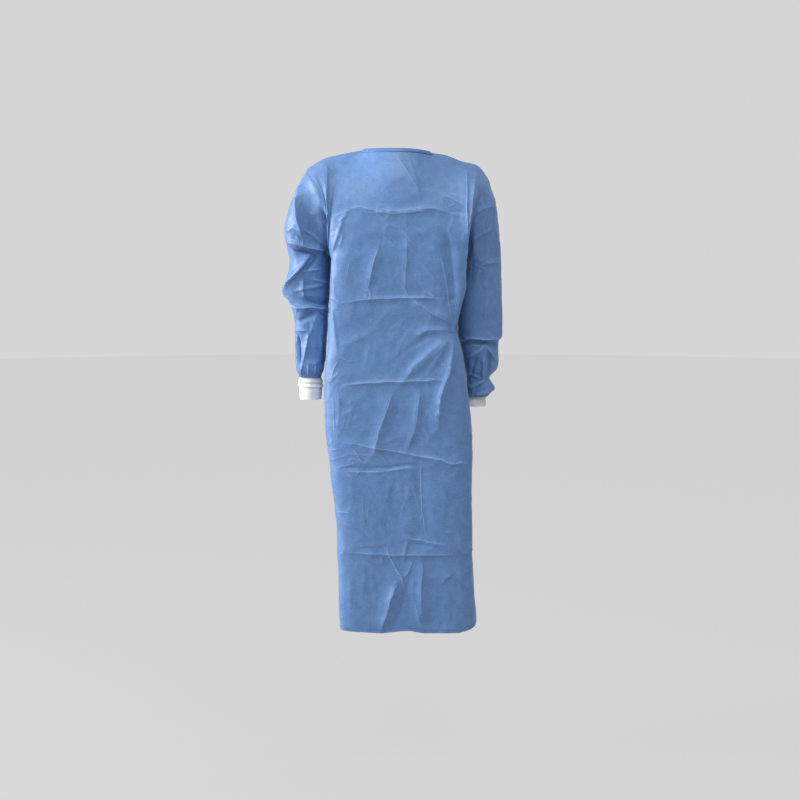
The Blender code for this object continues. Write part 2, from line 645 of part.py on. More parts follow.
def wall(name, outer, normals, thickness, material, group, round_tube=False):
    """Closed wall of cloth: the net is its outer face and the wall grows inward from it."""
    rows, columns = outer.shape[:2]
    inner = outer - normals * thickness
    mesh = bmesh.new()
    bmesh.ops.create_grid(mesh, x_segments=columns - 1, y_segments=rows - 1, size=1.0)
    row_of = mesh.verts.layers.int.new("row")
    column_of = mesh.verts.layers.int.new("column")
    for v in mesh.verts:
        v[row_of] = round((v.co.y + 1) / 2 * (rows - 1))
        v[column_of] = round((v.co.x + 1) / 2 * (columns - 1))
    for v in mesh.verts:
        v.co = outer[v[row_of], v[column_of]]
    if round_tube:
        bmesh.ops.remove_doubles(mesh, verts=mesh.verts[:], dist=1e-6)
    grown = bmesh.ops.extrude_face_region(mesh, geom=mesh.faces[:])
    for v in grown["geom"]:
        if isinstance(v, bmesh.types.BMVert):
            v.co = inner[v[row_of], v[column_of]]
    mesh.verts.layers.int.remove(row_of)
    mesh.verts.layers.int.remove(mesh.verts.layers.int["column"])
    bmesh.ops.recalc_face_normals(mesh, faces=mesh.faces[:])
    data = bpy.data.meshes.new(name)
    mesh.to_mesh(data)
    mesh.free()
    data.materials.append(material)
    data.shade_smooth()
    data.set_sharp_from_angle(angle=math.radians(50))
    thing = bpy.data.objects.new(name, data)
    group.objects.link(thing)
    return thing


def share_normals(a, b):
    """Gives two edges that meet at a seam one direction for their walls."""
    both = a + b
    both /= np.linalg.norm(both, axis=-1, keepdims=True)
    a[...] = both
    b[...] = both


def read_net(net, row, column):
    """Point of a net between its rows and columns."""
    row = np.clip(row, 0, net.shape[0] - 1.001)
    column = np.clip(column, 0, net.shape[1] - 1.001)
    j = np.floor(row).astype(int)
    i = np.floor(column).astype(int)
    v = (row - j)[..., None]
    u = (column - i)[..., None]
    low = net[j, i] * (1 - u) + net[j, i + 1] * u
    high = net[j + 1, i] * (1 - u) + net[j + 1, i + 1] * u
    return low * (1 - v) + high * v


def column_at(net, row, x):
    """Column where a net's row crosses x."""
    line = read_net(net, np.full(net.shape[1], row), np.arange(net.shape[1], dtype=float))[:, 0]
    crossings = np.where((line[:-1] - x) * (line[1:] - x) <= 0)[0]
    k = crossings[0]
    return k + (x - line[k]) / (line[k + 1] - line[k])


def main():
    clear_scene()
    group = new_collection("surgical_gown")
    cloth = finish("gown_cloth", BLUE, CLOTH_ROUGHNESS)
    binding_cloth = finish("gown_binding", BINDING_BLUE, CLOTH_ROUGHNESS)
    knit = finish("gown_knit", WHITE, KNIT_ROUGHNESS)

    shares = net_shares()
    front = front_net(shares)
    outer_back = outer_back_net(shares)
    inner_back = inner_back_net(shares)
    underarm_row = SKIRT_FACES * FINE

    right_armhole = armhole_ring(front[underarm_row:, 0], inner_back[underarm_row:, 0])
    left_armhole = armhole_ring(front[underarm_row:, -1], outer_back[underarm_row:, 0])
    sleeve_right = sleeve_net(RINGS_RIGHT, SLEEVE_TURN_RIGHT, right_armhole, SLEEVE_FOLDS_RIGHT, turned=True)
    sleeve_left = sleeve_net(RINGS_LEFT, 0.0, left_armhole, SLEEVE_FOLDS_LEFT, turned=False)

    # Coarse nets that the solids are made from
    nets = {
        "front_panel": front[::FINE, ::FINE],
        "back_panel_left": outer_back[::FINE, ::FINE],
        "back_panel_right": inner_back[::FINE, ::FINE],
        "sleeve_right": sleeve_right[::FINE, ::FINE],
        "sleeve_left": sleeve_left[::FINE, ::FINE],
    }
    ways = {
        "front_panel": normals_of(nets["front_panel"]),
        "back_panel_left": normals_of(nets["back_panel_left"]),
        "back_panel_right": normals_of(nets["back_panel_right"], turned=True),
        "sleeve_right": normals_of(nets["sleeve_right"], turned=True, round_tube=True),
        "sleeve_left": normals_of(nets["sleeve_left"], round_tube=True),
    }
    join_walls(nets, ways)
    things = {}
    for name in nets:
        round_tube = name.startswith("sleeve")
        things[name] = wall(name, nets[name], ways[name], WALL, cloth, group, round_tube)

    body = {name: (nets[name], ways[name]) for name in BODY_PANELS}
    make_cuffs(knit, group)
    make_binding(body, [things[name] for name in BODY_PANELS], binding_cloth, group)
    make_ties(body, cloth, group)
    make_neck_tab(body, cloth, group)


def join_walls(nets, ways):
    """Shares the wall's direction along every seam, then parts the pieces there by the seam's gap."""
    row = SKIRT_FACES
    front, outer, inner = (ways[name] for name in BODY_PANELS)
    share_normals(front[:, 0], inner[:, 0])
    share_normals(front[:, -1], outer[:, 0])
    share_normals(front[-1, :SHOULDER_FACES + 1], inner[-1, :SHOULDER_FACES + 1])
    share_normals(front[-1, ::-1][:SHOULDER_FACES + 1], outer[-1, :SHOULDER_FACES + 1])
    for sleeve, front_column, back in (("sleeve_right", 0, inner), ("sleeve_left", -1, outer)):
        rim = ways[sleeve][0]
        edge = armhole_ring(front[row:, front_column], back[row:, 0])
        both = rim + edge
        both /= np.linalg.norm(both, axis=-1, keepdims=True)
        count = len(front[row:])
        rim[...] = both
        rim[-1] = rim[0]
        front[row:, front_column] = both[:count][::-1]
        back[row:, 0] = both[count - 1:]
        back[-1, 0] = front[-1, front_column]
    nets["front_panel"] = pull_back(pull_back(nets["front_panel"], "first_column"), "last_column")
    nets["back_panel_left"] = pull_back(nets["back_panel_left"], "first_column")
    nets["back_panel_right"] = pull_back(nets["back_panel_right"], "first_column")
    for name in BODY_PANELS:
        nets[name] = pull_back(nets[name], "last_row")
    nets["sleeve_right"] = pull_back(nets["sleeve_right"], "first_row")
    nets["sleeve_left"] = pull_back(nets["sleeve_left"], "first_row")


def make_cuffs(knit, group):
    count = 2 * YOKE_FACES + 1
    for name, rings, x, y, turned in (
        ("cuff_right", CUFF_RINGS_RIGHT, CUFF_RIGHT_X, CUFF_RIGHT_Y, True),
        ("cuff_left", CUFF_RINGS_LEFT, CUFF_LEFT_X, CUFF_LEFT_Y, False),
    ):
        net = cuff_net(rings, x, y, count, SEAM_GAP)
        wall(name, net, normals_of(net, turned, True), CUFF_WALL, knit, group, round_tube=True)


def cloth_tree(panels):
    """Search tree over the triangles of the body panels."""
    corners = []
    faces = []
    for panel in panels:
        mesh = panel.data
        mesh.calc_loop_triangles()
        first = len(corners)
        corners.extend(v.co.copy() for v in mesh.vertices)
        faces.extend(tuple(first + k for k in triangle.vertices) for triangle in mesh.loop_triangles)
    return BVHTree.FromPolygons(corners, faces)


def between_points(line):
    """A line of points with more of them evenly along each step."""
    places = np.linspace(0, len(line) - 1, BINDING_STEPS * (len(line) - 1) + 1)
    k = np.minimum(places.astype(int), len(line) - 2)
    t = (places - k)[:, None]
    return line[k] * (1 - t) + line[k + 1] * t


def make_binding(body, panels, material, group):
    """Strip folded over the neck's edge, on the cloth's outer face and across its edge."""
    runs = (
        ("back_panel_left", np.arange(HALF_FACES + LAP_FACES, SHOULDER_FACES - 1, -1)),
        ("front_panel", np.arange(HALF_FACES + NECK_FACES, SHOULDER_FACES - 1, -1)[1:]),
        ("back_panel_right", np.arange(SHOULDER_FACES, SHOULDER_FACES + UNDER_BINDING_FACES + 1)[1:]),
    )
    edge = np.concatenate([body[name][0][-1, columns] for name, columns in runs])
    up = np.concatenate([body[name][1][-1, columns] for name, columns in runs])
    run = np.gradient(edge, axis=0)
    away = np.cross(up, run)
    away /= np.linalg.norm(away, axis=-1, keepdims=True)
    # At the two neck points the strip is folded along the shoulder seam
    front_top = body["front_panel"][0][-1]
    left_point = HALF_FACES + LAP_FACES - SHOULDER_FACES
    for index, column, outward in (
        (left_point, HALF_FACES + NECK_FACES, 1),
        (left_point + 2 * NECK_FACES, SHOULDER_FACES, -1),
    ):
        seam = front_top[column + outward] - front_top[column]
        away[index] = seam / np.linalg.norm(seam)
    # It starts just inside the outer back's free edge and runs down along it
    outer = body["back_panel_left"][0]
    free_edge = outer[-2, -1] - outer[-1, -1]
    away[0] = free_edge / np.linalg.norm(free_edge)
    edge[0] += (edge[1] - edge[0]) * BINDING_INSET
    edge, up, away = (between_points(line) for line in (edge, up, away))
    up /= np.linalg.norm(up, axis=-1, keepdims=True)
    away /= np.linalg.norm(away, axis=-1, keepdims=True)
    # How far each line of the strip lies from the neck's edge, and how far out from the cloth's outer face
    outside = BINDING_LIFT + BINDING_WALL
    profile = (
        (BINDING_WIDTH, outside),
        (BINDING_WIDTH * 2 / 3, outside),
        (BINDING_WIDTH / 3, outside),
        (-BINDING_LIFT, outside),
        (-outside, BINDING_LIFT),
        (-outside, -WALL),
    )
    tree = cloth_tree(panels)
    strip = np.empty((len(profile), len(edge), 3))
    for i, start in enumerate(edge):
        for j, (drop, lift) in enumerate(profile):
            spot = start + away[i] * drop
            way = up[i]
            if drop > 0:
                reach = Vector(spot + way * BINDING_SEARCH)
                found, face_way, _, _ = tree.ray_cast(reach, Vector(-way), 2 * BINDING_SEARCH)
                if found is None:
                    found, face_way, _, _ = tree.find_nearest(spot)
                spot = np.array(found)
                way = np.array(face_way) + up[i]
                way /= np.linalg.norm(way)
            strip[j, i] = spot + way * lift
    wall("neck_binding", strip, normals_of(strip), BINDING_WALL, material, group)


def on_cloth(panel, row, columns, spread, lift):
    """Three lines of points along one row of a panel, moved out from its faces."""
    net, ways = panel
    lines = []
    for offset in (-spread, 0.0, spread):
        rows = np.full(len(columns), row + offset)
        way = read_net(ways, rows, columns)
        way /= np.linalg.norm(way, axis=-1, keepdims=True)
        lines.append(read_net(net, rows, columns) + way * lift)
    return np.stack(lines)


def stops(start, end):
    """Columns from start to end with every column of the net between them, so that a strip bends where it does."""
    low, high = sorted((start, end))
    between = [float(k) for k in range(math.ceil(low + 0.05), math.floor(high - 0.05) + 1)]
    columns = [low] + between + [high]
    return np.array(columns if start <= end else columns[::-1])


def make_ties(body, material, group):
    """Patch, the two waist ties that lie on the cloth, their knot and its hanging ends."""
    front, outer, inner = (body[name] for name in BODY_PANELS)
    spread = TIE_WIDTH / 2 / WAIST_STEP
    front_end = front[0].shape[1] - 1.0
    outer_end = outer[0].shape[1] - 1.0

    patch_columns = stops(*(column_at(front[0], WAIST_ROW, x) for x in PATCH_X))
    net = on_cloth(front, WAIST_ROW, patch_columns, spread, TIE_LIFT)
    wall("tie_patch", net, normals_of(net), TIE_WALL, material, group)

    start = column_at(front[0], WAIST_ROW, PATCH_X[1]) + TIE_STEP
    end = column_at(outer[0], WAIST_ROW, KNOT_X + KNOT_REACH)
    net = np.concatenate([
        on_cloth(front, WAIST_ROW, stops(start, front_end)[:-1], spread, TIE_LIFT),
        on_cloth(outer, WAIST_ROW, stops(0.0, end), spread, TIE_LIFT),
    ], axis=1)
    wall("waist_tie_left", net, normals_of(net), TIE_WALL, material, group)

    start = column_at(outer[0], WAIST_ROW, KNOT_X - KNOT_REACH)
    over = on_cloth(outer, WAIST_ROW, stops(start, outer_end), spread, TIE_LIFT)
    under_start = column_at(inner[0], WAIST_ROW, over[1, -1, 0] - TIE_DROP)
    under = on_cloth(inner, WAIST_ROW, stops(under_start, TIE_SEWN_COLUMN), spread, TIE_LIFT)
    net = np.concatenate([over, under], axis=1)
    wall("waist_tie_right", net, normals_of(net), TIE_WALL, material, group)

    knot_columns = np.array([column_at(outer[0], WAIST_ROW, x) for x in (KNOT_X + 0.001, KNOT_X)])
    centre = on_cloth(outer, WAIST_ROW, knot_columns, spread, TIE_LIFT)[1, -1]
    make_knot(centre, material, group)
    make_tie_ends(centre, outer[0], material, group)


def make_neck_tab(body, material, group):
    """Touch-fasten tab that joins the two backs just below the neck's binding."""
    outer, inner = body["back_panel_left"], body["back_panel_right"]
    row_height = np.linalg.norm(outer[0][-1, HALF_FACES] - outer[0][-2, HALF_FACES])
    middle_row = outer[0].shape[0] - 1 - (TAB_DROP + TAB_HEIGHT / 2) / row_height
    spread = TAB_HEIGHT / 2 / row_height
    end = outer[0].shape[1] - 1.0
    edge = on_cloth(outer, middle_row, np.array([end - 0.01, end]), spread, 0.0)[1, -1]
    start = column_at(outer[0], middle_row, edge[0] + TAB_LENGTH / 2)
    over = on_cloth(outer, middle_row, stops(start, end), spread, TIE_LIFT)
    near = column_at(inner[0], middle_row, edge[0] - TIE_DROP)
    far = column_at(inner[0], middle_row, edge[0] - TAB_LENGTH / 2)
    under = on_cloth(inner, middle_row, stops(near, far), spread, TIE_LIFT)
    net = np.concatenate([over, under], axis=1)
    wall("neck_tab", net, normals_of(net), TIE_WALL, material, group)


def make_knot(centre, material, group):
    """Flat soft knot: a rounded lump, wider than it is high."""
    mesh = bmesh.new()
    bmesh.ops.create_uvsphere(mesh, u_segments=12, v_segments=8, radius=1.0)
    for v in mesh.verts:
        wrap = 1.0 - KNOT_WRAP * math.cos(2 * math.atan2(v.co.z, v.co.x))
        v.co.x = centre[0] + v.co.x * KNOT_HALF * wrap
        v.co.z = centre[2] + v.co.z * KNOT_HALF_HEIGHT
        v.co.y = centre[1] + KNOT_DEPTH * (KNOT_SEAT + v.co.y)
    data = bpy.data.meshes.new("waist_knot")
    mesh.to_mesh(data)
    mesh.free()
    data.materials.append(material)
    data.shade_smooth()
    group.objects.link(bpy.data.objects.new("waist_knot", data))


def make_tie_ends(centre, outer, material, group):
    """The ties' two free ends, hanging from under the knot with a soft twist."""
    for end in TIE_ENDS:
        drop = np.linspace(0, 1, TIE_END_FACES + 1)
        z = centre[2] - KNOT_HALF_HEIGHT - SEAM_GAP - drop * end.length
        x = centre[0] + end.side * (TIE_WIDTH / 2 + SEAM_GAP + end.sway * np.sin(drop * math.pi / 2))
        turn = end.side * 0.5 * np.sin(drop * math.pi)
        cloth_y = np.array([cloth_depth(outer, a, b) for a, b in zip(x, z)])
        top_y = centre[1] + KNOT_DEPTH * KNOT_SEAT + TIE_WALL / 2
        y = top_y + (cloth_y + TIE_END_CLEAR - top_y) * smooth_step(drop / TIE_END_LEAVES)
        across = np.linspace(1, -1, 3)[None, :] * TIE_WIDTH / 2
        net = np.stack([
            x[:, None] + across * np.cos(turn)[:, None],
            y[:, None] + across * np.sin(turn)[:, None] + 0 * across,
            z[:, None] + 0 * across,
        ], axis=-1)[::-1]
        wall(end.name, net, normals_of(net), TIE_WALL, material, group)


def cloth_depth(net, x, z):
    """How far back the cloth reaches near a place seen from behind."""
    away = np.hypot(net[..., 0] - x, net[..., 2] - z)
    return float(net[..., 1][away < CLOTH_NEAR].max())


main()
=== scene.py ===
"""Looks of a surgical gown on its wearer: thin nonwoven cloth with its packing creases, knitted cuffs, seams and ties.

Metres, +Z up. The wearer faces -Y, so the wearer's left is +X. Crease tables are in millimetres, seen from the front
or from the back.
"""

import json
import math
from collections import namedtuple

import bmesh
import bpy
import numpy as np
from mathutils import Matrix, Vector, noise
from mathutils.bvhtree import BVHTree

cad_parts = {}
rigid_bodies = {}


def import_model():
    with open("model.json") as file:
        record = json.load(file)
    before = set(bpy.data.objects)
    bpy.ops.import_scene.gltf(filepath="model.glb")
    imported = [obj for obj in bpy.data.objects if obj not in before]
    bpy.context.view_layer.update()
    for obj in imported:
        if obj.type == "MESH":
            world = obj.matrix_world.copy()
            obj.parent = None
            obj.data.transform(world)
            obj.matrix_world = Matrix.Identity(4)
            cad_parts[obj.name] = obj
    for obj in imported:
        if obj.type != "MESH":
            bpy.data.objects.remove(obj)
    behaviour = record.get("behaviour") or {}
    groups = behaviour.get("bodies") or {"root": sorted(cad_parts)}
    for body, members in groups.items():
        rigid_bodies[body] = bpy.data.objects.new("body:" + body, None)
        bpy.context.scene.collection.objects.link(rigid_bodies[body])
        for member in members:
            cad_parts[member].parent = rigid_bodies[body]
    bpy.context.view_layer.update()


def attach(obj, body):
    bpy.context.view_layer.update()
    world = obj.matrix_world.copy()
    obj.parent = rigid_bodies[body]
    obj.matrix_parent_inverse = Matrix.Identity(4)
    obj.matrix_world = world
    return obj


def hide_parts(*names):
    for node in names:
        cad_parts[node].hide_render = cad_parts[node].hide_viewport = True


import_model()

MM = 0.001

# Photograph's camera
CAMERA_AT = (0.0075, -4.1, -0.2)
CAMERA_AIM = (0.0075, -0.1, -0.6)
LENS = 74.69
SENSOR = 36.0
FLOOR_Z = -1.506

# Cloth
CLOTH = 0.0007
KNIT = 0.0018
STRIP = 0.0006

# Heights that the whole garment shares, and the crosswise creases that packing left
HEM_Z = -1.165
UNDERARM_Z = -0.262
WAIST_Z = -0.4262
CREASES_Z = (-0.968, -0.745, -0.735, -0.553, -0.352)
SKIRT_ROWS = 216
YOKE_ROWS = 70
CHEST_RISE = 0.50

# Columns from the centre line to the side seam: neck, chest and side
FRONT_COLUMNS = (34, 30, 20)
BACK_COLUMNS = (22, 20, 14)
CHEST_SHARE = 0.72
LAP_COLUMNS = 18
BACK_EVERY = 2

# One row for each level of the skirt and body, from hem to underarm. left and right are the widest places on the
# wearer's right (-X) and left (+X), each at its own depth; middle is the centre line.
Level = namedtuple("Level", "z left right left_y right_y middle front back")
LEVELS = (
    Level(HEM_Z, -0.1405, 0.1970, -0.085, -0.035, 0.028, -0.134, 0.150),
    Level(-1.100, -0.1436, 0.1935, -0.080, -0.038, 0.026, -0.133, 0.149),
    Level(-1.000, -0.1460, 0.1865, -0.070, -0.045, 0.022, -0.131, 0.147),
    Level(-0.900, -0.1510, 0.1852, -0.060, -0.050, 0.018, -0.130, 0.145),
    Level(-0.800, -0.1606, 0.1850, -0.055, -0.050, 0.013, -0.129, 0.143),
    Level(-0.704, -0.1728, 0.1845, -0.050, -0.050, 0.008, -0.128, 0.141),
    Level(-0.605, -0.1777, 0.1760, -0.050, -0.060, 0.004, -0.127, 0.137),
    Level(-0.530, -0.1760, 0.1670, -0.055, -0.070, 0.003, -0.125, 0.129),
    Level(-0.470, -0.1690, 0.1555, -0.060, -0.080, 0.002, -0.122, 0.119),
    Level(WAIST_Z, -0.1675, 0.1455, -0.060, -0.088, 0.001, -0.120, 0.113),
    Level(-0.385, -0.1645, 0.1543, -0.060, -0.095, 0.001, -0.122, 0.116),
    Level(-0.334, -0.1625, 0.1660, -0.060, -0.098, 0.001, -0.125, 0.119),
    Level(UNDERARM_Z, -0.1590, 0.1660, -0.062, -0.098, 0.001, -0.127, 0.120),
)
FRONT_SQUARE = 6.0
BACK_SQUARE = 1.85
# How far behind the widest place the side seam lies, as an angle round the back
SEAM_TURN = math.radians(20)


# Lines of the yoke, from the underarm (0) to the shoulder (1)
Mark = namedtuple("Mark", "rise x y z")
FRONT_MIDDLE = (
    Mark(0.00, 0.001, -0.127, UNDERARM_Z),
    Mark(0.25, 0.001, -0.127, -0.205),
    Mark(0.50, 0.001, -0.123, -0.145),
    Mark(0.70, 0.000, -0.119, -0.095),
    Mark(0.86, 0.000, -0.104, -0.046),
    Mark(1.00, 0.000, -0.070, 0.004),
)
BACK_MIDDLE = (
    Mark(0.00, 0.001, 0.120, UNDERARM_Z),
    Mark(0.25, 0.001, 0.121, -0.200),
    Mark(0.50, 0.001, 0.118, -0.137),
    Mark(0.70, 0.000, 0.108, -0.084),
    Mark(0.86, 0.000, 0.090, -0.038),
    Mark(1.00, 0.000, 0.060, 0.005),
)
# Armholes run from the underarm to the shoulder tip; the first point is the side seam's top and is worked out
FRONT_ARMHOLE_RIGHT = (
    Mark(0.15, -0.1575, -0.040, -0.247),
    Mark(0.30, -0.1610, -0.078, -0.212),
    Mark(0.50, -0.1660, -0.098, -0.150),
    Mark(0.70, -0.1790, -0.098, -0.101),
    Mark(0.86, -0.2010, -0.072, -0.062),
    Mark(1.00, -0.2190, 0.000, -0.040),
)
FRONT_ARMHOLE_LEFT = (
    Mark(0.15, 0.1560, -0.046, -0.248),
    Mark(0.30, 0.1650, -0.068, -0.207),
    Mark(0.50, 0.1790, -0.080, -0.158),
    Mark(0.70, 0.1960, -0.078, -0.115),
    Mark(0.86, 0.2130, -0.056, -0.085),
    Mark(1.00, 0.2270, 0.004, -0.070),
)
BACK_ARMHOLE_RIGHT = (
    Mark(0.15, -0.1520, 0.042, -0.245),
    Mark(0.30, -0.1560, 0.070, -0.208),
    Mark(0.50, -0.1650, 0.080, -0.148),
    Mark(0.70, -0.1820, 0.068, -0.098),
    Mark(0.86, -0.2020, 0.042, -0.062),
    Mark(1.00, -0.2190, 0.000, -0.040),
)
BACK_ARMHOLE_LEFT = (
    Mark(0.15, 0.1470, 0.050, -0.246),
    Mark(0.30, 0.1560, 0.082, -0.208),
    Mark(0.50, 0.1700, 0.092, -0.155),
    Mark(0.70, 0.1900, 0.078, -0.112),
    Mark(0.86, 0.2100, 0.048, -0.084),
    Mark(1.00, 0.2270, 0.004, -0.070),
)
# Shoulder seams, from the neck (0) to the shoulder tip (1)
SHOULDER_RIGHT = (
    Mark(0.00, -0.0815, 0.000, 0.0045),
    Mark(0.30, -0.1270, 0.000, -0.0040),
    Mark(0.52, -0.1520, 0.000, -0.0095),
    Mark(0.72, -0.1780, 0.000, -0.0165),
    Mark(1.00, -0.2190, 0.000, -0.0400),
)
SHOULDER_LEFT = (
    Mark(0.00, 0.0815, 0.000, -0.0020),
    Mark(0.27, 0.1225, 0.000, -0.0090),
    Mark(0.50, 0.1560, 0.001, -0.0220),
    Mark(0.78, 0.2010, 0.002, -0.0360),
    Mark(1.00, 0.2270, 0.004, -0.0700),
)

# Share of the yoke's half width that is neck, and how quickly the shoulder's form gives way to the body's
NECK_SHARE = 0.375
TOP_FADE = 3.4
ARM_FADE = 3.0

# How far each back panel passes the centre line, as a share of the half back, at the hem and at the neck
LAP_HEM = 0.55
LAP_NECK = 0.16
LAP_GAP = 0.0030

LAP_FADE = 0.20

# Sleeve rings from the armhole down. outer and inner are the ring's two ends seen from the front.
Ring = namedtuple("Ring", "outer_x outer_z inner_x inner_z y half_depth")
RINGS_RIGHT = (
    Ring(-0.2190, -0.0400, -0.1500, -0.2620, 0.000, 0.0800),
    Ring(-0.2445, -0.0926, -0.1600, -0.2660, 0.000, 0.0740),
    Ring(-0.2655, -0.1450, -0.1590, -0.2760, 0.000, 0.0680),
    Ring(-0.2750, -0.2000, -0.1590, -0.2880, 0.000, 0.0650),
    Ring(-0.2640, -0.2545, -0.1600, -0.3000, -0.001, 0.0650),
    Ring(-0.2665, -0.2935, -0.1600, -0.3140, -0.002, 0.0630),
    Ring(-0.2810, -0.3400, -0.1635, -0.3440, -0.003, 0.0610),
    Ring(-0.2620, -0.3720, -0.1680, -0.3740, -0.005, 0.0570),
    Ring(-0.2540, -0.4050, -0.1700, -0.4050, -0.008, 0.0530),
    Ring(-0.2510, -0.4600, -0.1725, -0.4600, -0.013, 0.0480),
    Ring(-0.2510, -0.5250, -0.1790, -0.5250, -0.019, 0.0450),
    Ring(-0.2420, -0.5500, -0.1870, -0.5500, -0.020, 0.0300),
)
RINGS_LEFT = (
    Ring(0.2270, -0.0700, 0.1450, -0.2620, 0.004, 0.0780),
    Ring(0.2400, -0.1100, 0.1690, -0.2660, 0.014, 0.0760),
    Ring(0.2490, -0.1550, 0.1680, -0.2760, 0.020, 0.0715),
    Ring(0.2545, -0.2100, 0.1650, -0.2900, 0.026, 0.0680),
    Ring(0.2575, -0.2600, 0.1610, -0.3080, 0.030, 0.0645),
    Ring(0.2600, -0.3330, 0.1540, -0.3480, 0.031, 0.0625),
    Ring(0.2620, -0.3910, 0.1475, -0.3940, 0.031, 0.0610),
    Ring(0.2640, -0.4480, 0.1480, -0.4480, 0.031, 0.0590),
    Ring(0.2540, -0.4720, 0.1550, -0.4720, 0.031, 0.0550),
    Ring(0.2530, -0.5280, 0.1660, -0.5280, 0.031, 0.0490),
    Ring(0.2320, -0.5560, 0.1730, -0.5560, 0.031, 0.0390),
    Ring(0.2450, -0.5820, 0.1720, -0.5820, 0.031, 0.0380),
    Ring(0.2260, -0.6030, 0.1700, -0.6030, 0.031, 0.0320),
)
ARMHOLE_REACH = 0.10
# How square a sleeve ring is; 2 is a true ellipse
SLEEVE_SQUARE = 2.8
# How far forward the outer edge of the right sleeve stands at its top, and how far back its inner edge
SLEEVE_TURN_RIGHT = 0.026


# Creases: how high each stands in the cloth (below 0 it sinks), how wide its two slopes are, above or to the viewer's
# right and below or to the left, how strong the painted highlight on its crest is, and its path as (x, z) seen from
# the front or the back
Crease = namedtuple("Crease", "name height up down pale path")
FRONT_FOLDS = (
    # Crosswise creases, from the chest down
    Crease("", 6, 30, 26, 0, ((-133, -147), (-62, -141), (10, -147), (95, -139), (165, -158))),
    Crease("", 4, 26, 24, 0, ((-140, -358), (-80, -351), (30, -350), (110, -352))),
    Crease("", 4, 26, 24, 0, ((-112, -556), (-28, -551), (120, -546))),
    Crease("", 5, 30, 28, 0, ((-143, -697), (-58, -711), (50, -733), (120, -750), (178, -747))),
    Crease("", 4, 26, 24, 0, ((-105, -964), (-20, -971), (64, -973), (142, -969))),
    # Cloth drawn to the tie at the wearer's left of the waist
    Crease("", 12, 26, 22, 0, ((142, -414), (85, -388), (30, -357))),
    Crease("", 8, 20, 24, 0, ((130, -432), (72, -431), (42, -446))),
    Crease("", 12, 32, 30, 0, ((125, -455), (70, -500), (20, -545))),
    Crease("", 13, 26, 30, 0, ((134, -447), (130, -520), (104, -600), (97, -680))),
    # Hollow above the tie, beside the arm
    Crease("", -12, 28, 28, 0, ((117, -185), (128, -300), (136, -400))),
    # Edge fold in front of the wearer's left arm
    Crease("", 9, 28, 18, 0, ((150, -28), (163, -60), (166, -160), (163, -240))),
    # Drop from the neck, and lines of the chest
    Crease("", 3, 28, 28, 0, ((0, -22), (45, -85))),
    Crease("", 6, 26, 26, 0, ((-46, -228), (-78, -342))),
    Crease("", 4, 26, 26, 0, ((22, -205), (18, -334))),
    # Long folds of the skirt
    Crease("", 12, 35, 40, 0, ((0, -1035), (-16, -1090), (-34, -1160))),
    Crease("", 8, 30, 30, 0, ((60, -985), (57, -1080), (60, -1150))),
    Crease("", -6, 30, 30, 0, ((58, -742), (58, -850), (70, -930))),
    Crease("", 8, 30, 34, 0, ((52, -565), (48, -640), (25, -720))),
    Crease("", 8, 30, 30, 0, ((-12, -572), (-40, -670), (-58, -735))),
)
BACK_FOLDS_OUTER = (
    Crease("", 13, 34, 34, 0, ((60, -455), (66, -560), (78, -720))),
    Crease("", 12, 30, 34, 0, ((18, -455), (12, -600), (20, -800))),
    Crease("", 11, 30, 30, 0, ((55, -395), (70, -320), (95, -240))),
    Crease("", 12, 40, 40, 0, ((100, -780), (112, -960), (118, -1150))),
    Crease("", 9, 36, 36, 0, ((-45, -600), (-40, -850), (-50, -1150))),
    Crease("", 4, 26, 24, 0, ((-40, -553), (60, -549), (150, -553))),
    Crease("", 4, 26, 24, 0, ((-60, -966), (60, -970), (150, -966))),
)
BACK_FOLDS_INNER = (
    Crease("", 12, 34, 34, 0, ((-100, -455), (-112, -580), (-118, -760))),
    Crease("", 10, 28, 28, 0, ((-98, -395), (-108, -310), (-120, -235))),
    Crease("", 11, 34, 34, 0, ((-118, -850), (-114, -1000), (-112, -1150))),
)
SLEEVE_FOLDS_RIGHT = (
    # Folds that cross the elbow of the wearer's right arm, and the edge above it
    Crease("", 9, 18, 20, 0, ((-272, -219), (-212, -233), (-164, -240))),
    Crease("", 12, 24, 24, 0, ((-212, -242), (-242, -288), (-281, -340))),
    Crease("", 5, 20, 18, 0, ((-276, -349), (-245, -378), (-170, -383))),
    Crease("", 10, 40, 16, 0, ((-236, -60), (-243, -130), (-243, -180), (-232, -208))),
    Crease("", -8, 18, 18, 0, ((-238, -450), (-240, -510))),
)
SLEEVE_FOLDS_LEFT = (
    # Shelf at the elbow of the wearer's left arm and the gathers over its cuff
    Crease("", 3, 16, 30, 0, ((158, -456), (215, -457), (262, -452))),
    Crease("", 7, 18, 22, 0, ((190, -262), (225, -268), (255, -266))),
    Crease("", 8, 18, 18, 0, ((216, -474), (180, -502))),
)
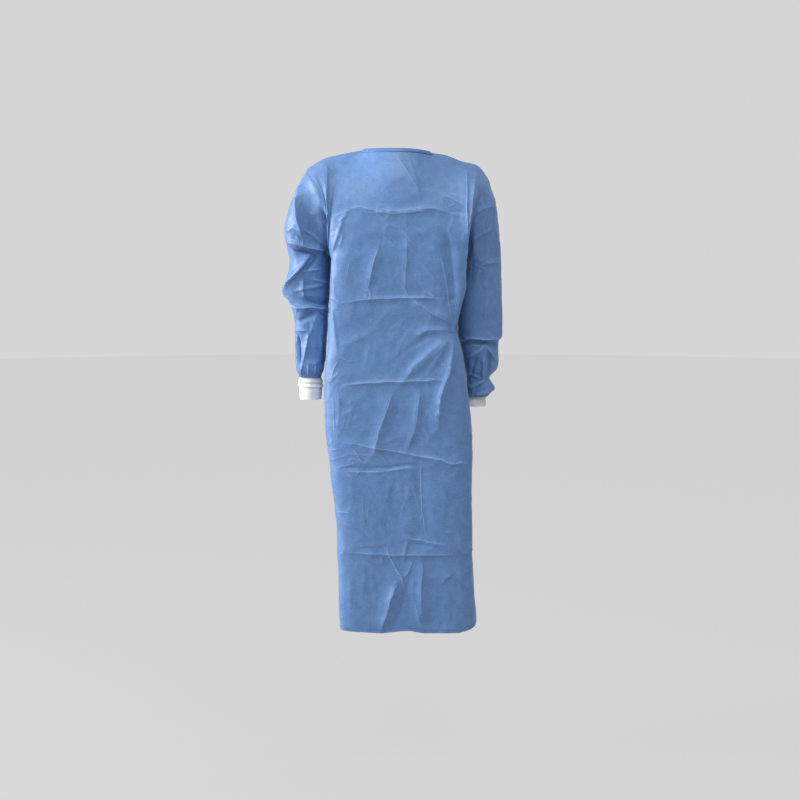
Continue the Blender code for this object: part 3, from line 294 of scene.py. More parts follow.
FRONT_CREASES = (
    Crease("chest crease", 1.9, 7, 15, 0.35, ((-129, -145), (-91, -133), (-62, -142), (-26, -145), (10, -146), (46, -142), (91, -139), (117, -146), (167, -159))),
    Crease("chest crease light line", 1, 4, 5, 0.5, ((-69, -147), (-26, -150), (10, -150), (46, -146), (79, -143))),
    Crease("chest crumple left", 1.6, 6, 8, 0.3, ((-148, -157), (-129, -149), (-107, -141))),
    Crease("chest crumple left low", 1.8, 6, 6, 0.5, ((-141, -171), (-124, -157), (-122, -148))),
    Crease("neck drop soft", 1.4, 10, 10, 0.2, ((0, -14), (17, -43), (46, -88), (53, -119))),
    Crease("neck drop second", 1.2, 10, 12, 0.1, ((29, -18), (39, -52), (58, -95))),
    Crease("chest soft left", 1, 12, 12, 0.05, ((-108, -83), (-88, -119), (-59, -136))),
    Crease("chest soft left low", 1, 10, 10, 0.05, ((-123, -66), (-110, -100), (-95, -131))),
    Crease("chest right crease", 1.4, 5, 6, 0.35, ((115, -107), (139, -120), (165, -135))),
    Crease("chest right short", 1.2, 4, 5, 0.3, ((123, -137), (139, -126))),
    Crease("chest right hollow", -1.5, 6, 6, 0, ((122, -150), (144, -145), (165, -153))),
    Crease("chest right soft", 1, 14, 14, 0, ((68, -22), (104, -51), (140, -75))),
    Crease("bib long line", 1.5, 5, 7, 0.6, ((-43, -224), (-54, -262), (-64, -302), (-76, -344))),
    Crease("bib long line foot", 1, 5, 5, 0.5, ((-76, -344), (-71, -352))),
    Crease("bib short left", 0.8, 5, 6, 0.25, ((-112, -263), (-122, -305))),
    Crease("bib centre", 0.9, 5, 5, 0.35, ((23, -205), (21, -266), (19, -332))),
    Crease("bib centre top", 0.9, 6, 8, 0.2, ((3, -182), (19, -200), (38, -221))),
    Crease("bib centre slant", 0.7, 4, 5, 0.2, ((-19, -214), (-5, -233))),
    Crease("bib web a", 0.8, 7, 9, 0.1, ((22, -214), (38, -238), (67, -269))),
    Crease("bib web b", 0.7, 8, 9, 0.05, ((-33, -181), (-12, -205), (0, -231))),
    Crease("bib web c", 0.7, 7, 8, 0.1, ((55, -266), (79, -297), (96, -324))),
    Crease("bib web d", 0.7, 8, 8, 0.05, ((19, -266), (-2, -300), (-21, -328))),
    Crease("tie hollow line", 1.8, 6, 8, 0.4, ((100, -245), (110, -281), (120, -329), (130, -403))),
    Crease("tie hollow", -3, 14, 14, 0, ((120, -186), (125, -250), (132, -322), (140, -401))),
    Crease("right edge fold", 3, 9, 5, 0.35, ((152, -22), (166, -51), (168, -95), (168, -157), (166, -238), (164, -334))),
    Crease("belly crease", 2.4, 7, 18, 0.45, ((-144, -365), (-108, -359), (-76, -355), (-16, -352), (27, -351), (67, -352), (111, -353))),
    Crease("belly crumple", 1.2, 4, 4, 0.4, ((-69, -360), (-64, -340), (-74, -331))),
    Crease("belly crumple mid", 1.2, 6, 6, 0.3, ((15, -324), (27, -350))),
    Crease("belly crumple right", 1.2, 5, 6, 0.3, ((72, -336), (91, -348))),
    Crease("belly right short", 1.2, 4, 5, 0.4, ((130, -357), (145, -370))),
    Crease("belly right short b", 1, 4, 5, 0.3, ((132, -358), (157, -358))),
    Crease("tie ray top", 3.2, 8, 9, 0.35, ((128, -413), (103, -398), (67, -376), (34, -354))),
    Crease("tie ray middle", 2.4, 8, 10, 0.3, ((125, -427), (96, -425), (72, -429), (43, -444))),
    Crease("tie ray under", -1.8, 8, 12, 0, ((123, -437), (94, -441), (65, -453), (20, -482))),
    Crease("tie ray broad", 2.8, 11, 15, 0.2, ((118, -449), (79, -482), (39, -520), (15, -553))),
    Crease("tie ray low", 1.6, 8, 10, 0.1, ((125, -453), (103, -491), (75, -530), (56, -551))),
    Crease("tie drop bright", 3.6, 10, 9, 0.35, ((137, -444), (133, -477), (128, -516), (118, -549), (104, -592), (97, -670))),
    Crease("tie drop dark", -2.4, 6, 6, 0, ((145, -447), (151, -474), (155, -508))),
    Crease("tie drop edge", 2, 6, 6, 0.2, ((153, -467), (160, -497), (165, -533))),
    Crease("mid slant left", 1, 9, 11, 0.1, ((-137, -466), (-108, -454), (-72, -444))),
    Crease("mid slant left low", 1.1, 6, 7, 0.2, ((-137, -490), (-120, -502), (-103, -506))),
    Crease("mid drop", 1.1, 7, 8, 0.15, ((-67, -468), (-72, -494), (-79, -525))),
    Crease("mid web a", 0.9, 6, 6, 0.15, ((10, -472), (-2, -496))),
    Crease("mid web b", 0.9, 10, 12, 0.05, ((-28, -405), (-60, -434), (-93, -451))),
    Crease("mid web c", 0.9, 8, 10, 0.05, ((36, -429), (7, -465), (-12, -506))),
    Crease("mid web d", 0.8, 10, 12, 0.05, ((-12, -371), (-36, -400), (-55, -429))),
    Crease("thigh crease", 2.4, 6, 16, 0.5, ((-137, -573), (-125, -562), (-111, -559), (-69, -556), (-26, -554), (17, -552), (56, -551), (89, -549), (120, -548))),
    Crease("thigh crumple", 1, 4, 4, 0.4, ((80, -544), (94, -554))),
    Crease("left strip edge top", 2.6, 9, 10, 0.25, ((-124, -148), (-134, -176), (-146, -214), (-159, -253))),
    Crease("left strip edge mid", 1.6, 6, 8, 0.25, ((-159, -258), (-154, -298), (-149, -353))),
    Crease("left strip pinch", 1.8, 5, 6, 0.4, ((-162, -350), (-152, -356), (-134, -365))),
    Crease("left strip edge low", 2.4, 8, 10, 0.2, ((-159, -371), (-152, -411), (-147, -467), (-145, -495))),
    Crease("left strip fan a", 1.6, 5, 6, 0.5, ((-142, -497), (-152, -525), (-165, -554))),
    Crease("left strip fan b", 1.3, 4, 5, 0.45, ((-142, -529), (-152, -544), (-165, -556))),
    Crease("left strip facet", 1.5, 6, 6, 0.4, ((-146, -186), (-131, -205), (-139, -231))),
    Crease("left strip facet b", 1.2, 5, 5, 0.4, ((-158, -205), (-141, -195))),
    Crease("left strip skirt", 1.8, 9, 6, 0.25, ((-144, -570), (-143, -624), (-144, -697))),
    Crease("left strip skirt line", 1, 4, 4, 0.4, ((-152, -576), (-153, -629), (-153, -688))),
    Crease("left strip foot a", 1.2, 4, 4, 0.4, ((-155, -693), (-167, -708))),
    Crease("left strip foot b", 1.4, 4, 5, 0.5, ((-162, -722), (-143, -717))),
    Crease("left edge line", 1.6, 4, 5, 0.5, ((-166, -717), (-161, -775), (-151, -878))),
    Crease("left edge notch", 1.1, 4, 5, 0.4, ((-152, -873), (-131, -870), (-108, -874))),
    Crease("left web a", 0.9, 6, 6, 0.2, ((-135, -604), (-128, -647), (-140, -687))),
    Crease("thigh long line", 1.5, 5, 7, 0.5, ((-9, -575), (-24, -616), (-43, -676), (-53, -703), (-60, -728))),
    Crease("thigh long line foot", 1, 4, 5, 0.35, ((-60, -728), (-50, -710), (-38, -708))),
    Crease("thigh right line", 1.5, 6, 9, 0.4, ((54, -570), (51, -621), (39, -674), (24, -723))),
    Crease("thigh web a", 0.9, 7, 9, 0.1, ((51, -640), (68, -670), (75, -709))),
    Crease("thigh web b", 0.9, 8, 9, 0.1, ((-108, -574), (-113, -627), (-123, -676))),
    Crease("thigh web c", 0.9, 8, 9, 0.1, ((-60, -708), (-17, -694), (17, -684))),
    Crease("thigh web d", 0.9, 9, 9, 0.05, ((84, -559), (75, -607), (87, -655))),
    Crease("knee crease upper", 2.2, 6, 11, 0.5, ((-142, -699), (-101, -703), (-58, -710), (-5, -722), (51, -733), (113, -743), (130, -753), (153, -751), (184, -754))),
    Crease("knee crease lower", -2.2, 7, 7, 0, ((-142, -761), (-95, -763), (-66, -764), (-17, -760), (20, -756), (58, -754))),
    Crease("knee crease lower edge", 1.7, 4, 8, 0.45, ((-142, -769), (-95, -771), (-60, -772), (-12, -767), (58, -760))),
    Crease("knee short a", 1.1, 4, 5, 0.35, ((-110, -712), (-94, -734), (-81, -751))),
    Crease("knee short b", 1.1, 4, 4, 0.35, ((-146, -767), (-128, -752))),
    Crease("knee short c", 1, 4, 5, 0.3, ((-136, -761), (-98, -749))),
    Crease("knee zigzag a", 1.1, 4, 4, 0.35, ((-122, -779), (-106, -787))),
    Crease("knee zigzag b", 1.1, 4, 4, 0.35, ((-106, -787), (-91, -771))),
    Crease("knee fork a", 0.9, 4, 4, 0.3, ((-60, -728), (-45, -713))),
    Crease("knee fold right", 0.9, 5, 6, 0.15, ((113, -743), (133, -759), (158, -771))),
    Crease("skirt long line", 1.5, 5, 6, 0.5, ((58, -740), (58, -797), (58, -851), (63, -890), (69, -926))),
    Crease("skirt fan", 1.2, 6, 8, 0.3, ((34, -795), (51, -861), (67, -918))),
    Crease("skirt short", 0.9, 5, 6, 0.25, ((-71, -853), (-70, -884))),
    Crease("skirt patch", 1, 10, 12, 0.15, ((-85, -841), (-80, -876), (-85, -915))),
    Crease("skirt web a", 0.9, 8, 10, 0.1, ((-114, -798), (-107, -842), (-122, -893))),
    Crease("skirt web b", 0.9, 12, 12, 0, ((-12, -787), (-26, -840), (-12, -899))),
    Crease("skirt web c", 1, 12, 14, 0, ((104, -773), (119, -842), (109, -910))),
    Crease("skirt web d", 0.9, 8, 8, 0.1, ((-136, -894), (-109, -907), (-87, -935))),
    Crease("calf crease upper", 1.8, 10, 5, 0.1, ((-100, -955), (-60, -951), (-20, -949))),
    Crease("calf crease", 1.7, 5, 9, 0.45, ((-119, -970), (-65, -972), (-24, -974), (20, -975), (63, -976), (105, -976), (149, -975))),
    Crease("calf band", 2.4, 5, 9, 0.45, ((17, -928), (46, -936), (75, -943), (127, -952))),
    Crease("calf band under", -1.4, 5, 6, 0, ((17, -940), (56, -950), (95, -958))),
    Crease("calf fold left", 2, 5, 6, 0.35, ((25, -936), (20, -962), (15, -993))),
    Crease("calf v left", 2.2, 5, 6, 0.55, ((-25, -955), (-17, -980), (-5, -1004), (9, -1026), (17, -1055))),
    Crease("calf v right", 1.5, 5, 6, 0.35, ((38, -984), (32, -1002), (25, -1019), (17, -1031))),
    Crease("calf notch", 1.3, 4, 5, 0.3, ((-39, -977), (-37, -1000))),
    Crease("hem long line", 3, 7, 10, 0.6, ((3, -1037), (-7, -1062), (-17, -1088), (-29, -1128), (-39, -1164))),
    Crease("hem right line", 1.8, 6, 9, 0.4, ((62, -990), (58, -1035), (56, -1080), (58, -1110))),
    Crease("hem right foot", 1.5, 6, 8, 0.3, ((41, -1084), (49, -1114), (58, -1153))),
    Crease("hem right soft", 1.3, 9, 10, 0.1, ((41, -1023), (34, -1072), (39, -1129))),
    Crease("hem light patch", 1.5, 8, 12, 0.2, ((134, -1017), (119, -1033), (102, -1045))),
    Crease("hem left tone", 1.4, 12, 8, 0.1, ((-119, -1033), (-115, -1077), (-113, -1119))),
    Crease("hem left web", 1, 10, 12, 0.05, ((-85, -989), (-80, -1038), (-88, -1087))),
    Crease("hem left web b", 1, 10, 12, 0.05, ((-61, -1025), (-51, -1076), (-61, -1130))),
    Crease("hem right web", 1, 12, 14, 0, ((120, -1063), (129, -1108), (122, -1152))),
    Crease("hem right web b", 1.2, 12, 12, 0, ((159, -992), (157, -1066), (169, -1137))),
    Crease("hem dark fold", -1.8, 10, 10, 0, ((27, -1048), (15, -1085), (5, -1139))),
    Crease("right edge notch", 1.2, 4, 5, 0.3, ((174, -953), (185, -967), (184, -974))),
    Crease("left shoulder fold", 2.4, 6, 7, 0.25, ((-171, -33), (-168, -70), (-167, -128))),
    Crease("left shoulder facet", 1.8, 5, 6, 0.4, ((-184, -28), (-175, -68))),
)
RIGHT_SLEEVE_CREASES = (
    Crease("sleeve head", 7, 9, 34, 0.4, ((-238, -44), (-228, -48), (-209, -70), (-197, -86), (-187, -106), (-184, -124))),
    Crease("outer edge", 8, 40, 8, 0.45, ((-234, -90), (-240, -127), (-241, -159), (-236, -186), (-227, -210))),
    Crease("hollow by the body", -9, 8, 16, 0, ((-176, -140), (-172, -180), (-170, -232), (-168, -262))),
    Crease("outer notch", 1.4, 4, 4, 0.4, ((-247, -109), (-240, -117))),
    Crease("outer facet", 1.6, 5, 6, 0.4, ((-257, -161), (-244, -181))),
    Crease("outer facet low", 2, 6, 6, 0.5, ((-268, -195), (-249, -183), (-237, -195))),
    Crease("upper slant", 2, 7, 9, 0.35, ((-232, -182), (-207, -200), (-182, -219), (-160, -240))),
    Crease("elbow top", 5, 7, 10, 0.4, ((-270, -217), (-250, -222), (-228, -228), (-207, -233), (-187, -237), (-165, -240))),
    Crease("elbow top hollow", -4.5, 6, 8, 0, ((-261, -234), (-227, -241), (-191, -248))),
    Crease("elbow crumple a", 1.8, 4, 4, 0.5, ((-260, -210), (-242, -219))),
    Crease("elbow crumple b", 1.8, 4, 4, 0.5, ((-242, -205), (-234, -222))),
    Crease("elbow crumple c", 1.8, 4, 4, 0.5, ((-227, -210), (-229, -229))),
    Crease("elbow ridge", 6, 9, 10, 0.55, ((-207, -242), (-222, -265), (-238, -288), (-263, -319), (-278, -338))),
    Crease("elbow dark", -3.6, 12, 10, 0, ((-191, -243), (-201, -270), (-223, -292))),
    Crease("elbow cross", 2.2, 5, 8, 0.3, ((-233, -293), (-208, -287), (-183, -285))),
    Crease("elbow cross low", 2.6, 5, 8, 0.4, ((-208, -309), (-187, -314), (-167, -320))),
    Crease("elbow star", 4.5, 12, 12, 0.45, ((-229, -308), (-229, -334), (-224, -356))),
    Crease("elbow hollow low", -6, 18, 9, 0, ((-226, -358), (-200, -368), (-170, -374))),
    Crease("fore crease", 5.5, 7, 14, 0.5, ((-276, -349), (-261, -363), (-242, -379), (-216, -377), (-195, -379), (-169, -385))),
    Crease("fore crease dark", -2, 6, 7, 0, ((-188, -390), (-176, -398), (-168, -410))),
    Crease("fore slant", 1.8, 4, 5, 0.3, ((-184, -384), (-176, -395), (-171, -408))),
    Crease("fore diamond", -5, 13, 18, 0.3, ((-193, -388), (-216, -401), (-242, -412))),
    Crease("fore drop", 1.6, 5, 5, 0.4, ((-242, -379), (-246, -389), (-250, -405))),
    Crease("fore long", 1.4, 8, 9, 0.15, ((-195, -391), (-204, -420), (-217, -452))),
    Crease("fore long right", 1.4, 7, 8, 0.1, ((-178, -409), (-186, -458), (-181, -508))),
    Crease("wrist cross", 3, 5, 6, 0.4, ((-251, -438), (-234, -433), (-217, -435))),
    Crease("wrist hollow", -7, 4, 4, 0, ((-240, -444), (-239, -480), (-238, -514))),
    Crease("wrist ridge outer", 3, 5, 4, 0.5, ((-245, -446), (-246, -483), (-244, -519))),
    Crease("wrist ridge", 4.5, 5, 13, 0.55, ((-216, -436), (-219, -463), (-227, -508))),
    Crease("gather a", 2, 4, 4, 0.3, ((-229, -511), (-235, -531), (-234, -549))),
    Crease("gather b", 1.8, 4, 4, 0.2, ((-214, -515), (-217, -530), (-216, -546))),
    Crease("gather c", 2, 4, 4, 0.2, ((-200, -511), (-198, -528), (-203, -546))),
    Crease("gather d", 2, 4, 4, 0.2, ((-186, -509), (-184, -532))),
    Crease("gather cross", 1.6, 6, 7, 0.15, ((-222, -506), (-202, -516), (-184, -505))),
    Crease("star cross", 3, 9, 9, 0.3, ((-252, -338), (-229, -333), (-200, -330), (-172, -322))),
)
LEFT_SLEEVE_CREASES = (
    Crease("hollow by the body", -11, 18, 6, 0, ((172, -120), (174, -170), (172, -220), (170, -262))),
    Crease("shoulder slant", 2.4, 8, 9, 0.3, ((181, -161), (196, -145), (219, -135), (240, -132))),
    Crease("upper slant", 1.8, 9, 10, 0.2, ((175, -219), (204, -202), (237, -183))),
    Crease("outer edge", 2, 6, 6, 0.3, ((240, -139), (239, -183), (251, -220), (254, -259))),
    Crease("elbow cross", 2.4, 6, 9, 0.35, ((203, -279), (220, -269), (252, -268))),
    Crease("elbow cross left", 1.4, 5, 7, 0.15, ((184, -273), (203, -280), (222, -287))),
    Crease("elbow star", 1.2, 6, 7, 0.1, ((203, -280), (196, -302), (194, -327))),
    Crease("outer short", 1.4, 5, 5, 0.25, ((238, -312), (254, -340))),
    Crease("long soft", 1.4, 14, 14, 0.05, ((218, -307), (221, -361), (214, -422))),
    Crease("inner soft", -1.8, 10, 10, 0, ((177, -205), (183, -268), (179, -337))),
    Crease("shelf", 2.5, 4, 4, 0.4, ((156, -457), (184, -455), (213, -458), (236, -457), (259, -452))),
    Crease("shelf shade", 1.2, 8, 10, 0.1, ((161, -474), (189, -474), (229, -472))),
    Crease("diamond left", 5.5, 22, 7, 0.35, ((216, -471), (197, -489), (172, -509))),
    Crease("diamond right", 5, 20, 7, 0.3, ((216, -471), (228, -483), (250, -522))),
    Crease("puff drop", 5, 9, 8, 0.35, ((214, -499), (213, -530), (212, -560))),
    Crease("puff hollow left", -4, 10, 10, 0, ((196, -502), (186, -530), (182, -552))),
    Crease("puff hollow right", -5.5, 9, 8, 0, ((222, -489), (231, -516), (226, -548))),
    Crease("puff cross", 1.8, 6, 7, 0.2, ((172, -542), (193, -550), (216, -557))),
    Crease("cuff band", 5, 9, 7, 0.35, ((177, -580), (198, -571), (219, -559))),
    Crease("cuff band low", 4, 8, 6, 0.35, ((190, -600), (212, -592), (237, -582))),
    Crease("cuff gather a", 1.6, 4, 4, 0.2, ((189, -580), (188, -600))),
    Crease("cuff gather b", 1.6, 4, 4, 0.2, ((208, -570), (207, -592))),
    Crease("cuff gather c", 1.8, 4, 4, 0.2, ((231, -571), (211, -603))),
    Crease("shelf valley", -6, 5, 30, 0, ((158, -463), (190, -462), (215, -465), (256, -460))),
)

# Creases on the sides that the photograph doesn't show
BACK_CREASES_OUTER = (
    Crease("back chest crease", 2.2, 8, 14, .35, ((-28, -150), (40, -146), (90, -150), (140, -160))),
    Crease("back waist crease", 2.2, 7, 16, .4, ((-45, -355), (20, -350), (80, -352), (132, -358))),
    Crease("back seat crease", 2.2, 6, 15, .45, ((-66, -556), (0, -552), (80, -550), (150, -556))),
    Crease("back knee crease", 2.2, 6, 14, .45, ((-84, -742), (-10, -738), (70, -735), (160, -742))),
    Crease("back calf crease", 1.8, 5, 12, .45, ((-96, -968), (-20, -970), (70, -968), (170, -966))),
    Crease("back drop a", 1.6, 6, 8, .4, ((52, -165), (48, -240), (54, -330))),
    Crease("back drop b", 1.4, 7, 8, .3, ((96, -180), (104, -250), (98, -330))),
    Crease("back tie ray a", 2.4, 9, 12, .3, ((-4, -438), (40, -470), (92, -520))),
    Crease("back tie ray b", 2.4, 10, 12, .3, ((0, -416), (44, -392), (100, -362))),
    Crease("back tie ray c", 2.0, 9, 10, .25, ((-8, -446), (10, -500), (16, -560))),
    Crease("back skirt line a", 1.8, 6, 9, .45, ((34, -575), (46, -650), (40, -725))),
    Crease("back skirt line b", 1.8, 6, 9, .4, ((104, -590), (112, -660), (104, -720))),
    Crease("back skirt line c", 1.8, 6, 8, .45, ((12, -760), (2, -860), (10, -950))),
    Crease("back skirt line d", 1.6, 8, 10, .25, ((88, -770), (98, -850), (92, -940))),
    Crease("back hem line a", 2.2, 7, 9, .5, ((48, -985), (38, -1070), (22, -1160))),
    Crease("back hem line b", 1.8, 8, 10, .3, ((122, -990), (130, -1080), (128, -1150))),
    Crease("back slant a", 1.2, 7, 8, .25, ((20, -220), (50, -262), (92, -300))),
    Crease("back slant b", 1.2, 6, 8, .25, ((-40, -820), (10, -850), (60, -900))),
    Crease("back slant c", 1.2, 6, 8, .25, ((60, -620), (20, -660), (-30, -700))),
)
BACK_CREASES_INNER = (
    Crease("back chest crease", 2.0, 8, 14, .3, ((-60, -148), (-100, -150), (-145, -160))),
    Crease("back waist crease", 2.0, 7, 14, .35, ((-62, -352), (-100, -350), (-148, -358))),
    Crease("back seat crease", 2.0, 6, 14, .4, ((-80, -553), (-120, -556), (-160, -560))),
    Crease("back knee crease", 2.0, 6, 14, .4, ((-98, -740), (-130, -742), (-160, -748))),
    Crease("back calf crease", 1.8, 5, 12, .4, ((-108, -968), (-125, -970), (-138, -972))),
    Crease("back tie ray a", 2.0, 9, 10, .25, ((-62, -432), (-100, -462), (-140, -500))),
    Crease("back tie ray b", 2.0, 9, 10, .25, ((-62, -420), (-104, -392), (-142, -372))),
    Crease("back drop a", 1.5, 6, 8, .35, ((-86, -170), (-92, -250), (-88, -335))),
    Crease("back skirt line a", 1.6, 6, 8, .35, ((-112, -575), (-122, -650), (-116, -725))),
    Crease("back hem line a", 1.8, 7, 8, .4, ((-112, -985), (-118, -1070), (-116, -1150))),
)
RIGHT_SLEEVE_BACK = (
    Crease("elbow fold", 3.5, 8, 10, .4, ((-272, -232), (-225, -246), (-170, -250))),
    Crease("elbow fold low", 3.5, 8, 10, .4, ((-276, -300), (-230, -322), (-172, -318))),
    Crease("elbow cross", 3.0, 8, 8, .4, ((-180, -258), (-222, -286), (-268, -300))),
    Crease("fore fold", 3.0, 7, 9, .4, ((-262, -372), (-222, -382), (-176, -376))),
    Crease("upper line", 2.0, 9, 10, .25, ((-214, -70), (-226, -140), (-222, -210))),
    Crease("fore line", 2.0, 8, 8, .3, ((-226, -400), (-220, -450), (-224, -505))),
    Crease("fore slant", 1.8, 7, 8, .3, ((-246, -420), (-215, -440), (-186, -450))),
    Crease("gather a", 2.0, 4, 4, .2, ((-238, -515), (-236, -545))),
    Crease("gather b", 2.0, 4, 4, .2, ((-216, -512), (-218, -545))),
    Crease("gather c", 2.0, 4, 4, .2, ((-198, -515), (-200, -545))),
)
LEFT_SLEEVE_BACK = (
    Crease("elbow fold", 3.0, 8, 12, .35, ((164, -262), (212, -268), (256, -262))),
    Crease("elbow fold low", 3.0, 8, 12, .35, ((160, -330), (208, -345), (258, -332))),
    Crease("elbow cross", 2.4, 8, 9, .3, ((172, -278), (214, -306), (250, -322))),
    Crease("shelf", 4.0, 6, 14, .35, ((158, -450), (212, -458), (262, -452))),
    Crease("upper line", 2.0, 9, 10, .25, ((224, -90), (226, -160), (216, -235))),
    Crease("fore line", 1.8, 8, 8, .25, ((208, -350), (214, -400), (208, -440))),
    Crease("puff cross", 2.2, 6, 8, .3, ((168, -520), (206, -512), (244, -520))),
    Crease("cuff band", 2.4, 6, 8, .3, ((172, -572), (204, -580), (236, -568))),
    Crease("gather a", 2.0, 4, 4, .2, ((186, -560), (184, -600))),
    Crease("gather b", 2.0, 4, 4, .2, ((206, -560), (207, -600))),
    Crease("gather c", 2.0, 4, 4, .2, ((224, -560), (222, -598))),
)

# How a crease is shaped: its crest's rounding as a share of its width, and the thin ridge along it
CREASE_CLOSE = 1.2
CREASE_REACH = 0.012
CREASE_SPREAD = 0.9
CREASE_POWER = 1.7
CREST = 0.08
RIDGE_SHARE = 0.30
RIDGE_WIDTH = 0.006
END_FADE = 0.22
END_SHARE = 0.20
# Reach of the highlight painted round a crease's crest, and the width of its thin painted line
CREST_REACH = 0.006
CREST_LINE = 0.0022
FAR_GAP = 0.05
FACES_VIEWER = 0.08
FOLD_SHARE = 0.5
CREASE_SHARE = 1.0
SLEEVE_SHARE = 1.3

# Softened corner between neck and shoulder: how near the top it holds, its columns and its rounds
CORNER_HOLD = 8
CORNER_REACH = 16
CORNER_ROUNDS = 160

# Crumple, in metres: length and height of its swells, facets, small facets, web of creases and finest unevenness
SWELL_LENGTH = 0.100
SWELL_HEIGHT = 0.0013
FACET_LENGTH = 0.070
FACET_HEIGHT = 0.0026
SMALL_LENGTH = 0.032
SMALL_HEIGHT = 0.0012
WEB_LENGTH = 0.046
WEB_HEIGHT = 0.0007
WEB_THIN = 0.06
WEB_PATCH = 0.110
# Strength of the paler highlight painted along the web of fine creases
WEB_HIGHLIGHT = 0.15
FINE_LENGTH = 0.014
FINE_HEIGHT = 0.00022

# Seams
SEAM_EASE = 5
SEAM_DEPTHS = (0.0010, 0.0004)
LAP_SINK = 0.0046
SLEEVE_ROWS = 176

# Rise and fall of the front's hem, in millimetres across and up
HEM_WAVE = ((-140, 3), (-120, 1), (-35, -3), (10, 2), (30, 3), (65, -3), (150, -3), (180, 4), (197, 12))
HEM_WAVE_REACH = 0.09
HEM_WAVE_RUN = 0.12
HEM_STITCH = 0.011

# Knitted cuffs, from the sleeve's end down: each ring's height, half width, half depth and how far it leans
CuffRing = namedtuple("CuffRing", "z half_width half_depth lean")
CUFF_RIBS = 64
RIB_STEPS = 5
RIB_HEIGHT = 0.0003
CUFF_ROWS = 60
CUFF_RIGHT_X = -0.2130
CUFF_RIGHT_Y = -0.020
CUFF_RINGS_RIGHT = (
    CuffRing(-0.5460, 0.0250, 0.0260, 0.000),
    CuffRing(-0.5540, 0.0270, 0.0285, 0.000),
    CuffRing(-0.5600, 0.0300, 0.0305, 0.001),
    CuffRing(-0.5650, 0.0278, 0.0285, 0.002),
    CuffRing(-0.5705, 0.0308, 0.0312, 0.003),
    CuffRing(-0.5760, 0.0282, 0.0290, 0.002),
    CuffRing(-0.5850, 0.0278, 0.0285, 0.000),
    CuffRing(-0.6050, 0.0262, 0.0275, 0.000),
)
CUFF_LEFT_X = 0.1950
CUFF_LEFT_Y = 0.031
CUFF_RINGS_LEFT = (
    CuffRing(-0.5990, 0.0255, 0.0262, 0.000),
    CuffRing(-0.6080, 0.0264, 0.0272, 0.000),
    CuffRing(-0.6170, 0.0270, 0.0280, 0.000),
    CuffRing(-0.6270, 0.0262, 0.0270, 0.000),
)

# Neck binding: how far each line lies from the neck's edge, and how far out from the cloth
BINDING_PROFILE = (
    (0.0080, 0.0009),
    (0.0072, 0.0013),
    (0.0050, 0.0014),
    (0.0026, 0.0014),
    (0.0006, 0.0015),
    (-0.0012, 0.0011),
    (-0.0017, 0.0000),
    (-0.0012, -0.0014),
    (0.0000, -0.0020),
)
BINDING_SEAMS = (0.0064,)
BINDING_EASE = 2
UNDER_BINDING_COLUMNS = 12

# Waist ties, the square that holds one of them, and their knot
TIE_WIDTH = 0.018
TIE_LIFT = 0.0016
TIE_BUNCH = 0.55
PATCH_X = (0.1240, 0.1410)
PATCH_HEIGHT = 0.0175
PATCH_LIFT = 0.0012
KNOT_X = -0.012
KNOT_HALF = 0.014
KNOT_HALF_HEIGHT = 0.010
KNOT_DEPTH = 0.0065
KNOT_REACH = 0.0100
TieEnd = namedtuple("TieEnd", "name side length sway")
TIE_ENDS = (
    TieEnd("tie_end_left", 1, 0.185, 0.024),
    TieEnd("tie_end_right", -1, 0.160, 0.018),
)
TAB_LENGTH = 0.044
TAB_HEIGHT = 0.020
TAB_DROP = 0.013
TAB_LIFT = 0.0014

# Finishes, as linear colours
DEEP_BLUE = (0.061, 0.139, 0.312, 1.0)
LIGHT_BLUE = (0.111, 0.224, 0.455, 1.0)
DEEP_STRIP = (0.045, 0.115, 0.300, 1.0)
LIGHT_STRIP = (0.085, 0.185, 0.430, 1.0)
KNIT_SHADE = (0.60, 0.60, 0.60, 1.0)
KNIT_LIGHT = (0.80, 0.79, 0.78, 1.0)
CLOTH_ROUGHNESS = 0.52
# Paler blue painted along crease crests and the web of fine creases as a highlight, how strongly it is mixed in, and
# how much the crest line raises the bump
CREST_HIGHLIGHT_BLUE = (0.26, 0.42, 0.70, 1.0)
PAINTED_HIGHLIGHT_SHARE = 1.0
CREST_BUMP = 3.0

# Studio
FLOOR_RADIUS = 14.0
FLOOR_TONE = 0.04
FLOOR_GLOW = 0.604
BACKDROP = 0.672
WORLD_COLOUR = (1.0, 1.0, 1.0, 1.0)
WORLD_STRENGTH = 0.46
LIGHT_AIM = (0.0, 0.0, -0.55)
SOFTBOXES = (
    ("key_left", (-3.60, -0.60, 0.40), 1.6, 228.0),
    ("fill_above", (0.0, -2.25, 3.3), 2.6, 136.0),
)


def smooth_line(knots, values, at):
    """Smooth curve through a table's values, read at any place between its knots."""
    knots = np.asarray(knots, float)
    values = np.asarray(values, float)
    at = np.asarray(at, float)
    slopes = np.gradient(values, knots, axis=0)
    k = np.clip(np.searchsorted(knots, at) - 1, 0, len(knots) - 2)
    step = knots[k + 1] - knots[k]
    t = (at - knots[k]) / step
    if values.ndim > 1:
        t = t[..., None]
        step = step[..., None]
    start = (1 + 2 * t) * (1 - t) ** 2 * values[k] + t * (1 - t) ** 2 * step * slopes[k]
    end = t * t * (3 - 2 * t) * values[k + 1] + t * t * (t - 1) * step * slopes[k + 1]
    return start + end


def smooth_step(x):
    x = np.clip(x, 0.0, 1.0)
    return x * x * (3 - 2 * x)


def unit(v):
    return v / (np.linalg.norm(v, axis=-1, keepdims=True) + 1e-12)


def along_marks(marks, rise):
    knots = [m.rise for m in marks]
    return smooth_line(knots, [(m.x, m.y, m.z) for m in marks], rise)


def level_at(z):
    table = np.array(LEVELS)
    values = smooth_line(table[:, 0], table, z)
    return {name: values[:, i] for i, name in enumerate(Level._fields)}


def quarter(angle, square):
    """Unit superellipse at this angle from its middle line."""
    scale = (np.abs(np.sin(angle)) ** square + np.abs(np.cos(angle)) ** square) ** (-1 / square)
    return np.sin(angle) * scale, np.cos(angle) * scale


